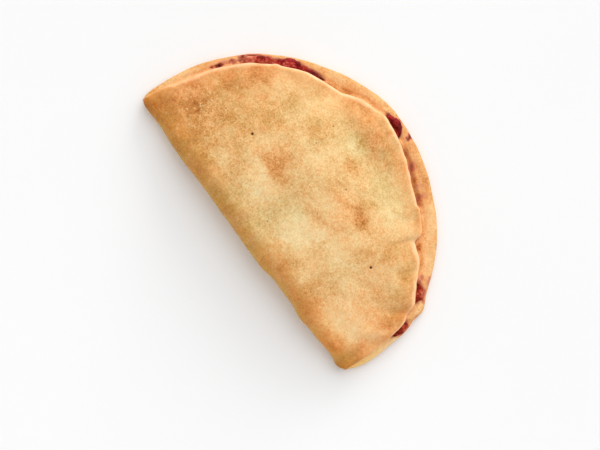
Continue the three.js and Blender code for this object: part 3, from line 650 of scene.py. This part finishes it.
def browning(points, m, where):
    """How baked the dough is (0 for pale, 1 for dark brown), how warm its brown is, how much gold it takes (with
    painted light on the strip at the left corner), how mottled it is, and where the upper leaf's pale band lies,
    pale partly as a painted highlight."""
    flat = points * (1, 1, 0)
    ragged = layers(flat, RAGGED)
    top_toast, top_warmth, grit, band = top_looks(flat, m, ragged)
    strip_toast, strip_warmth = strip_looks(flat, m, ragged)
    toast = by_face(where, top_toast, strip_toast, UNDER_TOAST + layers(points, UNDER_CLOUDS), POCKET_TOAST)
    warm = by_face(where, top_warmth, strip_warmth, UNDER_WARMTH, 1.0)

    strength, width = GOLDEN
    golden_and_painted_light = strength * bell(m.from_fold, 0, width) * (GOLD_LEVEL + layers(points, GOLD_WAVER))
    strength, *ends = STRIP_PAINTED_LIGHT
    golden_and_painted_light = golden_and_painted_light + strength * (where == STRIP) * (1 - smooth(rim_angle(flat), *ends))
    return SimpleNamespace(toast=levelled(toast), warm=np.clip(warm, 0, 1), golden_and_painted_light=np.clip(golden_and_painted_light, 0, 1),
                           grit=np.where(where == TOP, grit, GRIT[2]), band=np.where(where == TOP, band, 0.0))


def sauce_stains(points, m, where):
    """Where sauce has soaked into the lower leaf, from 0 to 1."""
    ragged = layers(points, STAINS_RAGGED)
    angle = rim_angle(points)
    seeped = sum(by * rim_patch(angle, m.inside_lower, *place, ragged) for *place, by, _ in SEEPS)
    past_sauce = stepped(SAUCE_EDGE, angle) - m.inside_lower
    mouth = MOUTH_STAIN * gape_at(angle) * (1 - smooth(past_sauce + MOUTH_RAGGED * ragged, *MOUTH_FADE))
    low = (where == STRIP) | (where == FLOOR)
    return np.where(low, np.clip(seeped + mouth, 0, 1), 0)


# Meshes

OUTLINE_POINTS = 721


def centre_shift():
    """What moves the shapes from the round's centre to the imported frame, in millimetres."""
    low = np.array(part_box("crust")[0]) / MM
    outline = np.concatenate([rim_point(np.linspace(LEFT.angle, RIGHT.angle, OUTLINE_POINTS)),
                              fold_point(np.linspace(LEFT.point[0], RIGHT.point[0], OUTLINE_POINTS))])
    return np.array([low[0] - outline[:, 0].min(), low[1] - outline[:, 1].min(), low[2]])


def normals_of(rings):
    along = np.gradient(rings, axis=0)
    around = np.roll(rings, -1, axis=1) - np.roll(rings, 1, axis=1)
    normals = np.cross(around, along)
    return normals / np.maximum(np.linalg.norm(normals, axis=2, keepdims=True), 1e-6)


TOUCHING = 8e-6  # metres; closer corners become one, so that no face is without area


def join_touching(mesh):
    joined = bmesh.new()
    joined.from_mesh(mesh)
    bmesh.ops.remove_doubles(joined, verts=joined.verts, dist=TOUCHING)
    joined.to_mesh(mesh)
    joined.free()


def placed(name, data):
    """A new object in the scene."""
    thing = bpy.data.objects.new(name, data)
    bpy.context.scene.collection.objects.link(thing)
    return thing


def loft(name, rings, attributes, shift):
    """A closed mesh over rings of points, with attributes at every point."""
    stations, columns = rings.shape[:2]
    index = np.arange(stations * columns).reshape(stations, columns)
    beside = np.roll(index, -1, axis=1)
    quads = np.stack([index[:-1], beside[:-1], beside[1:], index[1:]], -1).reshape(-1, 4)
    hubs = [rings[0].mean(0), rings[-1].mean(0)]
    first, last = stations * columns, stations * columns + 1
    ends = [(first, int(b), int(a)) for a, b in zip(index[0], beside[0])]
    ends += [(last, int(a), int(b)) for a, b in zip(index[-1], beside[-1])]
    points = (np.concatenate([rings.reshape(-1, 3), hubs]) + shift) * MM

    mesh = bpy.data.meshes.new(name)
    mesh.from_pydata(points.tolist(), [], quads.tolist() + ends)
    for key, values in attributes.items():
        layer = mesh.attributes.new(key, "FLOAT", "POINT")
        padded = np.concatenate([values.reshape(-1), [values[0].mean(), values[-1].mean()]])
        layer.data.foreach_set("value", padded.astype(np.float32))
    mesh.shade_smooth()
    return placed(name, mesh)


def eased_to_edge(start, end, count):
    """Places from start to end that crowd towards the end, as on a rounded tip."""
    turns = np.radians(np.linspace(0, 90, count + 1)[1:])
    return lerp(start, end, np.sin(turns))


def steps(start, end, count):
    """Places from start to end, the start left out."""
    return lerp(start, end, np.linspace(0, 1, count + 1)[1:])


def dough_columns(cuts):
    """The places of the dough's corners, as shares of each cut."""
    middle = measures_at(cuts, cuts.edge / 2)
    bend = np.minimum(middle.bend / (cuts.length * cuts.fold_slant), BEND_SHARE * cuts.edge)
    reach = cuts.length * cuts.rim_slant
    seal = np.maximum(cuts.seal, bend + OPEN_SHARE * (cuts.edge - bend))
    apex = np.minimum(DOUGH / (cuts.length * cuts.fold_slant), APEX_SHARE * bend)
    upper_nose = cuts.edge - np.minimum(DOUGH / 2 / reach, UPPER_TIP_SHARE * (cuts.edge - seal))
    lower_nose = 1 - np.minimum(DOUGH / 2 / reach, LOWER_TIP_SHARE * (1 - cuts.edge))
    bend_places = bend * (1 - np.cos(np.radians(np.linspace(0, 90, BEND_CUTS + 1)[1:])))

    inwards, tip = TOP_CUTS
    upper = [0 * bend, bend_places, steps(bend, upper_nose, inwards), eased_to_edge(upper_nose, cuts.edge, tip)]
    back, inwards, sealed, tip = POCKET_CUTS
    pocket = [steps(apex, bend, back), steps(bend, seal, inwards), steps(seal, upper_nose, sealed),
              eased_to_edge(upper_nose, cuts.edge, tip)]
    outwards, tip = STRIP_CUTS
    strip = [steps(cuts.edge, lower_nose, outwards), eased_to_edge(lower_nose, 1, tip)]
    tip, inwards = UNDER_CUTS
    under = [eased_to_edge(lower_nose, 1, tip)[:, ::-1][:, 1:], steps(lower_nose, bend, inwards),
             bend_places[:, ::-1][:, 1::2]]
    upper, pocket, strip, under = (np.concatenate(parts, 1) for parts in (upper, pocket, strip, under))
    return SimpleNamespace(upper=upper, pocket=pocket, apex=apex, strip=strip, under=under, seal=seal)


def with_height(points, height):
    return np.concatenate([points, height[..., None]], 2)


def dough_rings(cuts):
    """The dough's loop on every cut, from under the rim round the fold: its corners, measures and faces."""
    c = dough_columns(cuts)
    runs = [(c.under, UNDER), (c.upper, TOP), (c.pocket[:, ::-1][:, 1:], CEILING), (c.apex, FLOOR),
            (c.pocket, FLOOR), (c.strip, STRIP)]
    parts = np.concatenate([places for places, _ in runs], 1)
    where = np.concatenate([np.full(places.shape, face) for places, face in runs], 1)
    faces, m = heights_at(cuts, parts)
    heights = {TOP: faces.top, CEILING: faces.ceiling, UNDER: faces.underside}
    height = np.select([where == face for face in heights], list(heights.values()), faces.floor)
    return with_height(m.points, height), m, where


DOME_TURNS = np.radians([22, 42, 60, 76])
DOME_REACH = 0.6  # how far the rounded ends stand out from the last cuts
DOME_FROM = 4  # counted from there, the cut that gives their direction


def domed(rings):
    def dome(ring, inner):
        centre = ring.mean(0)
        away = centre - inner.mean(0)
        away[2] = 0
        away = unit(away)
        return [centre + (ring - centre) * math.cos(turn) + away * DOME_REACH * math.sin(turn)
                for turn in DOME_TURNS]

    first, last = dome(rings[0], rings[DOME_FROM]), dome(rings[-1], rings[-1 - DOME_FROM])
    return np.concatenate([np.array(first)[::-1], rings, np.array(last)])


def padded_ends(values):
    return np.pad(values, [(len(DOME_TURNS), len(DOME_TURNS)), (0, 0)], mode="edge")


def make_dough(shift):
    cuts = cuts_at(even_shares(DOUGH_STATIONS))
    rings, m, where = dough_rings(cuts)
    rings = domed(rings)
    where = padded_ends(where)
    m = SimpleNamespace(**{name: padded_ends(getattr(m, name))
                           for name in ("from_fold", "inside_upper", "inside_lower", "outside")})
    relief = skin_relief(rings, m, where)
    baked = browning(rings, m, where)
    baked.toast = baked.toast + RELIEF_TOAST * relief
    attributes = {**vars(baked), "stain": sauce_stains(rings, m, where), "upper": 1.0 * (where == TOP)}
    rings = rings + normals_of(rings) * relief[..., None]
    rings[..., 2] = np.maximum(rings[..., 2], 0)
    piece = loft("crust_dough", rings, attributes, shift)
    join_touching(piece.data)
    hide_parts("crust")
    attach(piece, "root")
    return piece


# How light the filling is along the rim, and how far from crimson towards orange: {rim angle: value}
FILLING_SHADES = {-76: -0.02, -73: -0.04, -71.5: 0.12, -70: 0.02, -69: -0.06, -62: -0.08, -59.6: -0.02, -58.6: 0.12,
                  -57.2: 0.1, -56.2: -0.06, -54: -0.06, -3: -0.14, 1.2: -0.15, 2.2: -0.03, 3.2: -0.12, 4.2: -0.06,
                  5.2: 0.14, 30: -0.14, 34: -0.18, 36.5: -0.04, 39: 0.02, 41: 0.06, 43: 0.18, 45.5: 0.22, 47: 0.08,
                  48.2: 0.32, 49.2: 0.12, 51: 0.22, 52.6: 0.06, 54: 0.04, 54.7: 0.26, 58: 0.32, 60: 0.34}
FILLING_TONES = {-76: 0.9, -54: 0.8, -4: 0.3, 0: 0.4, 4: 0.2, 30: 0.1, 38: 0.35, 42: 0.2, 46: 0.2, 48: 0.5, 54: 0.45,
                 56: 0.4, 58: 0.5}
# Painted shade at the filling's front, where it meets the strip: how much darker it is, and between which depths
FRONT_PAINTED_SHADE = {-54: 0.03, -4: 0.03, 30: 0, 37: 0.06, 40: 0.18, 42: 0.32, 46: 0.32, 48.2: 0.2, 49.2: 0.16,
                  52.5: 0.18, 53.8: 0.26, 54.3: 0.24, 54.8: 0}
DARK_FRONT = (1.4, 3.2)
SHADE_NOISE = [(2.2, 0.12, 5)]
TONE_NOISE = [(3, 0.2, 9.1)]
SAUCE_WAVER = [(5, 0.8, 2.4), (1.9, 0.6, 7.2)]
LUMPS = [(3.3, 0.9, 1.1), (1.5, 0.5, 4.2)]

LEAST_BARE = 0.5  # the filling's front comes no nearer to the rim
SHUT_SHORT = 0.6  # and ends so far before the seal where the rim is shut
MOUTH_OPEN = (0.35, 0.9)  # the filling comes out between these shares of gaping
SHUT = 0.05  # up to here the rim counts as shut
CLEARANCE = 0.1  # what keeps the filling off the dough
OPEN_HEIGHT = 9.0  # the room above it in front of the upper leaf
LOOSE_FROM = (-2, 1)  # it gets loose between these, counted from the seal
PACKED_FRONT = 7  # how far back its rounded front reaches where it is packed
LEAST_FILLING = 0.12  # its least thickness


def make_filling(shift):
    cuts = cuts_at(crowded_shares(FILLING_STATIONS))
    keep = np.flatnonzero(cuts.length[:, 0] >= POCKET_START)
    cuts = SimpleNamespace(**{name: value[keep] for name, value in vars(cuts).items()})
    c = dough_columns(cuts)
    reach = cuts.length * cuts.rim_slant
    out = gape_at(cuts.angle)
    rim = np.concatenate([rim_point(cuts.angle[:, 0]), 0 * cuts.angle], 1)[:, None]
    bare = np.maximum(stepped(SAUCE_EDGE, cuts.angle) + layers(rim, SAUCE_WAVER), LEAST_BARE)
    front = lerp(c.seal - SHUT_SHORT / reach, 1 - bare / reach, smooth(out, *MOUTH_OPEN))

    body = c.pocket[:, :sum(POCKET_CUTS[:2])]
    parts = np.concatenate([body, steps(body[:, -1:], front, FRONT_CUTS)], 1)
    faces, m = heights_at(cuts, parts)
    below = faces.floor + CLEARANCE
    low_run = with_height(m.points, below)
    in_front = (front - parts) * reach
    least, span = SAUCE_TAPER
    from_end = sum(np.maximum(0, np.minimum(cuts.angle - low, high - cuts.angle)) for low, high, _ in OPENINGS)
    taper = lerp(least, 1, roundness(from_end, span))
    loose = (SAUCE_THICKNESS * taper + layers(low_run, LUMPS)) * roundness(in_front, SAUCE_FRONT)
    free = np.where(parts < cuts.edge, faces.ceiling - CLEARANCE - below, OPEN_HEIGHT)
    past_seal = smooth((parts - c.seal) * reach, *LOOSE_FROM)
    thick = np.minimum(free, lerp(free, loose, past_seal * np.clip(out, 0, 1)))
    thick = np.where(out > SHUT, thick, free * roundness(in_front, PACKED_FRONT))
    high_run = with_height(m.points, below + np.maximum(thick, LEAST_FILLING))
    rings = np.concatenate([high_run, low_run[:, ::-1]], 1)
    in_front = np.concatenate([in_front, in_front[:, ::-1]], 1)
    # painted shade at the filling's front
    front_shade = stepped(FRONT_PAINTED_SHADE, cuts.angle) * (1 - smooth(in_front, *DARK_FRONT))
    attributes = {
        "shade": stepped(FILLING_SHADES, cuts.angle) - front_shade + layers(rings, SHADE_NOISE),
        "tone": stepped(FILLING_TONES, cuts.angle) + layers(rings, TONE_NOISE),
    }
    piece = loft("tomato_filling", rings, attributes, shift)
    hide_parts("filling")
    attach(piece, "root")
    return piece


# Materials

def linear(code):
    """A colour as Blender takes it."""
    channels = [int(code[at:at + 2], 16) / 255 for at in (0, 2, 4)]
    return tuple(c / 12.92 if c <= 0.04045 else ((c + 0.055) / 1.055) ** 2.4 for c in channels) + (1.0,)


class Shader:
    """A material's nodes, made one by one and joined as they are made."""

    def __init__(self, name):
        self.material = bpy.data.materials.new(name)
        self.material.use_nodes = True
        self.tree = self.material.node_tree
        self.surface = self.tree.nodes["Principled BSDF"]
        self.place = self.add("TexCoord").outputs["Object"]

    def feed(self, socket, value):
        if isinstance(value, bpy.types.NodeSocket):
            self.tree.links.new(value, socket)
        else:
            socket.default_value = value

    def add(self, kind, inputs=(), **settings):
        node = self.tree.nodes.new("ShaderNode" + kind)
        for name, value in settings.items():
            setattr(node, name, value)
        for socket, value in dict(inputs).items():
            self.feed(node.inputs[socket], value)
        return node

    def attribute(self, name):
        return self.add("Attribute", attribute_name=name).outputs["Fac"]

    def noise(self, wave, detail, roughness, distortion=0.0):
        """Noise between 0 and 1 with lumps about one wave, in millimetres, wide."""
        return self.add("TexNoise", {"Vector": self.place, "Scale": 1 / (wave * MM), "Detail": detail,
                                     "Roughness": roughness, "Distortion": distortion}).outputs["Fac"]

    def math(self, operation, *values):
        return self.add("Math", enumerate(values), operation=operation).outputs[0]

    def times(self, a, b):
        return self.math("MULTIPLY", a, b)

    def sum(self, first, *others):
        for other in others:
            first = self.math("ADD", first, other)
        return first

    def swing(self, value, by):
        """A noise of 0 to 1 as a change between minus and plus by, about."""
        return self.math("MULTIPLY_ADD", value, 2 * by, -by)

    def from_point(self, x, y):
        """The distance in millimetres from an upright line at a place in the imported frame."""
        flat = self.add("VectorMath", {0: self.place, 1: (1.0, 1.0, 0.0)}, operation="MULTIPLY").outputs[0]
        away = self.add("VectorMath", {0: flat, 1: (x * MM, y * MM, 0.0)}, operation="DISTANCE")
        return self.times(away.outputs["Value"], 1 / MM)

    def span(self, value, low, high, to_low=0.0, to_high=1.0):
        return self.add("MapRange", {"Value": value, "From Min": low, "From Max": high, "To Min": to_low,
                                     "To Max": to_high}, interpolation_type="SMOOTHSTEP").outputs[0]

    def ramp(self, value, places, codes):
        node = self.add("ValToRGB", {"Fac": value})
        elements = node.color_ramp.elements
        while len(elements) < len(places):
            elements.new(0.5)
        for element, place, code in zip(elements, places, codes):
            element.position, element.color = place, linear(code)
        return node.outputs["Color"]

    def mix(self, share, a, b, blend="MIX"):
        return self.add("Mix", {0: share, 6: a, 7: b}, data_type="RGBA", blend_type=blend).outputs[2]

    def cover(self, colour, roughness, shine, normal=None):
        """Joins what has been made to the surface."""
        for name, value in (("Base Color", colour), ("Roughness", roughness), ("Specular IOR Level", shine),
                            ("Normal", normal)):
            if value is not None:
                self.feed(self.surface.inputs[name], value)
        return self.material

    def bump(self, height, depth, after=None):
        """Bumps as deep as the height times so many millimetres, on top of the ones before."""
        node = self.add("Bump", {"Height": height, "Distance": depth * MM, "Strength": 1.0})
        if after is not None:
            self.feed(node.inputs["Normal"], after)
        return node.outputs["Normal"]


BROWN_LEVELS = (0.0, 0.25, 0.45, 0.65, 0.85, 1.0)
COOL_BROWNS = ("f0dfac", "e8cd93", "d8b577", "c19850", "a67630", "7e501c")
WARM_BROWNS = ("fdd8a0", "f9c284", "eea564", "d98848", "ba682c", "8a4418")
EDGE_LEVELS = (0.2, 0.5, 0.9)
EDGE_PALE_AND_HIGHLIGHT = ("ffd0a2", "f5b27c", "b46c36")
SOAKED_LEVELS = (0.06, 0.22, 0.42, 0.60, 0.78, 0.95)
SOAKED = ("f0ae80", "e2936c", "c47050", "9c4a32", "6e2614", "440e06")
FLOUR = "f6dcae"
PORE_SHADE_AND_SPECK = "3a2414"

# Fine noise: (wave, detail, roughness, distortion), and how strongly it changes the tone
GRAIN, CRUMB, CLOUDY = (1.2, 2.0, 0.6), (2.7, 4.0, 0.62, 0.5), (11.0, 4.0, 0.55, 0.6)
GRAIN_TONE, CRUMB_TONE, CLOUDY_TONE = 0.45, 0.26, 0.08
TINGED, TINGE = (4.5, 3.0, 0.6), 0.30  # the warmth's noise and strength
SOAKING, SOAKED_LEVEL = (1.8, 4.0, 0.65), 0.55
SOAKED_FROM = (0.02, 0.34)  # between these the soaked colour takes over
FLOURED = (1.5, 1.0, 0.5, 0.8)
FLOUR_SPECKS = (0.62, 0.72)  # flour shows between these levels
DUSTED = (3.0, 34.0, 0.80, 0.08)  # distances from the blisters, and the flour there
BAND_COLOUR = 0.85  # share of its own colour that the pale band, partly a painted highlight, has
PORE_EDGE = (0.4, 1.3)  # a pore's dark fades between these shares of its radius
PORE_DARK = 1.3  # how dark it is, for each millimetre of radius
DOUGH_ROUGHNESS = (0.2, 0.9, 0.78, 0.62)  # two tones, and the roughness at each
DOUGH_SHINE = 0.18
SKIN_DEPTH, CLOUDY_DEPTH = 0.22, 0.5  # of the fine bumps, in millimetres


def dough_material(shift):
    s = Shader("baked_dough")
    toast, warm, golden_and_painted_light, grit, band, stain, upper = map(
        s.attribute, ("toast", "warm", "golden_and_painted_light", "grit", "band", "stain", "upper"))
    grain, crumb, clouds = s.noise(*GRAIN), s.noise(*CRUMB), s.noise(*CLOUDY)
    mottling = s.times(s.sum(s.swing(grain, GRAIN_TONE), s.swing(crumb, CRUMB_TONE)), grit)
    level = s.sum(toast, s.swing(clouds, CLOUDY_TONE), mottling)
    tint = s.sum(warm, s.swing(s.noise(*TINGED), TINGE))
    colour = s.mix(tint, s.ramp(level, BROWN_LEVELS, COOL_BROWNS), s.ramp(level, BROWN_LEVELS, WARM_BROWNS))
    # gold on the fold, and painted light on the strip at the left corner
    colour = s.mix(golden_and_painted_light, colour, linear(GOLD), "MULTIPLY")
    # the pale band: unbrowned dough with a painted highlight on its rounded edge
    colour = s.mix(s.times(band, BAND_COLOUR), colour, s.ramp(level, EDGE_LEVELS, EDGE_PALE_AND_HIGHLIGHT))

    wet = s.times(stain, s.sum(s.noise(*SOAKING), SOAKED_LEVEL))
    colour = s.mix(s.span(wet, *SOAKED_FROM), colour, s.ramp(wet, SOAKED_LEVELS, SOAKED))
    dusty = s.span(s.from_point(BLISTERED[0] + shift[0], BLISTERED[1] + shift[1]), *DUSTED)
    flour = s.times(s.span(s.noise(*FLOURED), *FLOUR_SPECKS), dusty)
    colour = s.mix(s.times(s.times(flour, grit), upper), colour, linear(FLOUR))
    # dark pin holes, as painted shade, and brown specks
    for x, y, size in PORES:
        edge = (share * size for share in PORE_EDGE)
        hole_shade = s.span(s.from_point(x + shift[0], y + shift[1]), *edge, min(1.0, PORE_DARK * size), 0.0)
        colour = s.mix(s.times(hole_shade, upper), colour, linear(PORE_SHADE_AND_SPECK))
    skin = s.bump(s.times(s.sum(grain, crumb), grit), SKIN_DEPTH)
    return s.cover(colour, s.span(level, *DOUGH_ROUGHNESS), DOUGH_SHINE, s.bump(clouds, CLOUDY_DEPTH, skin))


TOMATO_LEVELS = (0.0, 0.28, 0.46, 0.60, 0.74, 0.88, 1.0)
CRIMSON = ("3a0408", "6c0a12", "9a141e", "bc2630", "d2504a", "e0806a", "e69a84")
RUSTY = ("3a0c04", "6c1a0a", "9a3016", "bc502c", "d2764a", "de9060", "e6ac80")
TOMATO_LUMPS, TOMATO_BITS = (3.2, 5.0, 0.65, 0.6), (1.3, 3.0, 0.6)
BITS_TONE = 0.30
LUMPS_DEPTH, BITS_DEPTH = 0.7, 0.35  # of the fine bumps, in millimetres
FILLING_ROUGHNESS = (0.3, 0.7, 0.38, 0.65)  # two levels, and the roughness at each
FILLING_SHINE = 0.12


def filling_material():
    s = Shader("cooked_tomato")
    lumps, bits = s.noise(*TOMATO_LUMPS), s.noise(*TOMATO_BITS)
    level = s.sum(lumps, s.swing(bits, BITS_TONE), s.attribute("shade"))
    colour = s.mix(s.attribute("tone"), s.ramp(level, TOMATO_LEVELS, CRIMSON), s.ramp(level, TOMATO_LEVELS, RUSTY))
    normal = s.bump(bits, BITS_DEPTH, s.bump(lumps, LUMPS_DEPTH))
    return s.cover(colour, s.span(bits, *FILLING_ROUGHNESS), FILLING_SHINE, normal)


HAZE = (260.0, 2.0, 0.5)
FLOOR_TONES = ("fafafa", "ffffff")
FLOOR_ROUGHNESS = 0.9


def floor_material():
    s = Shader("pale_floor")
    return s.cover(s.mix(s.noise(*HAZE), *map(linear, FLOOR_TONES)), FLOOR_ROUGHNESS, 0.0)


# Stage: floor, light and camera

FLOOR_RADIUS = 3.0
FLOOR_RINGS = (0.4, 1.0)  # radii of the first rings
FLOOR_SIDES = 96
WALL_HEIGHT = 0.45
WALL_BEND = 0.4
WALL_STEPS = 12


def make_floor():
    """A round pale floor that bends up into a low wall, so that no horizon shows."""
    turns = np.radians(np.linspace(0, 90, WALL_STEPS + 1))
    flat = FLOOR_RADIUS - WALL_BEND
    radii = [*FLOOR_RINGS, *(flat + WALL_BEND * np.sin(turns)), FLOOR_RADIUS]
    heights = [*(0.0 for _ in FLOOR_RINGS), *(WALL_BEND * (1 - np.cos(turns))), WALL_HEIGHT]
    around = np.linspace(0, 2 * np.pi, FLOOR_SIDES, endpoint=False)
    points = [(0.0, 0.0, 0.0)]
    points += [(r * math.cos(a), r * math.sin(a), h) for r, h in zip(radii, heights) for a in around]
    ahead = [*range(1, FLOOR_SIDES), 0]
    faces = [(0, 1 + at, 1 + ahead[at]) for at in range(FLOOR_SIDES)]
    for inner in range(1, 1 + FLOOR_SIDES * (len(radii) - 1), FLOOR_SIDES):
        outer = inner + FLOOR_SIDES
        faces += [(inner + at, outer + at, outer + ahead[at], inner + ahead[at]) for at in range(FLOOR_SIDES)]
    mesh = bpy.data.meshes.new("floor")
    mesh.from_pydata(points, [], faces)
    mesh.shade_smooth()
    mesh.materials.append(floor_material())
    floor = placed("floor", mesh)


# Lamps on the rim's side: (degrees to the right, elevation, width in degrees, strength)
LAMPS = {"key": (19, 37, 80, 1.72), "low": (28, 14, 26, 1.15)}
SKY = 0.58


def make_light():
    for name, (sideways, elevation, width, strength) in LAMPS.items():
        lamp = bpy.data.lights.new(name, "SUN")
        lamp.energy = strength
        lamp.angle = math.radians(width)
        holder = placed(name, lamp)
        side, rise = math.radians(sideways), math.radians(elevation)
        towards = Vector((math.sin(side) * math.cos(rise), -math.cos(side) * math.cos(rise), math.sin(rise)))
        holder.rotation_mode = "QUATERNION"
        holder.rotation_quaternion = towards.to_track_quat("Z", "Y")

    world = bpy.data.worlds.new("studio")
    world.use_nodes = True
    sky = world.node_tree.nodes["Background"].inputs
    sky["Color"].default_value = (1.0, 1.0, 1.0, 1.0)
    sky["Strength"].default_value = SKY
    bpy.context.scene.world = world


VIEW_CENTRE = (-12.2, -21.9)  # what the middle of the picture looks at
VIEW_WIDTH = 393  # how much it takes in, in millimetres
VIEW_RIGHT = (-0.5976, -0.8018)
CAMERA_HEIGHT = 1.1  # metres above the floor
OUTLINE_HEIGHT = 0.008  # where that width is measured
SENSOR = 36
CLIP = (0.05, 20)  # metres


def make_camera(shift):
    data = bpy.data.cameras.new("camera")
    data.sensor_width = SENSOR
    data.lens = SENSOR * (CAMERA_HEIGHT - OUTLINE_HEIGHT) / (VIEW_WIDTH * MM)
    data.clip_start, data.clip_end = CLIP
    camera = placed("camera", data)
    right = Vector((*VIEW_RIGHT, 0)).normalized()
    up = Vector((0, 0, 1)).cross(right)
    x, y = (VIEW_CENTRE[0] + shift[0]) * MM, (VIEW_CENTRE[1] + shift[1]) * MM
    turn = Matrix((right, up, Vector((0, 0, 1)))).transposed().to_4x4()
    camera.matrix_world = Matrix.Translation((x, y, CAMERA_HEIGHT)) @ turn
    bpy.context.scene.camera = camera


shift = centre_shift()
make_dough(shift).data.materials.append(dough_material(shift))
make_filling(shift).data.materials.append(filling_material())
make_floor()
make_light()
make_camera(shift)
bpy.context.scene.view_settings.view_transform = "Standard"
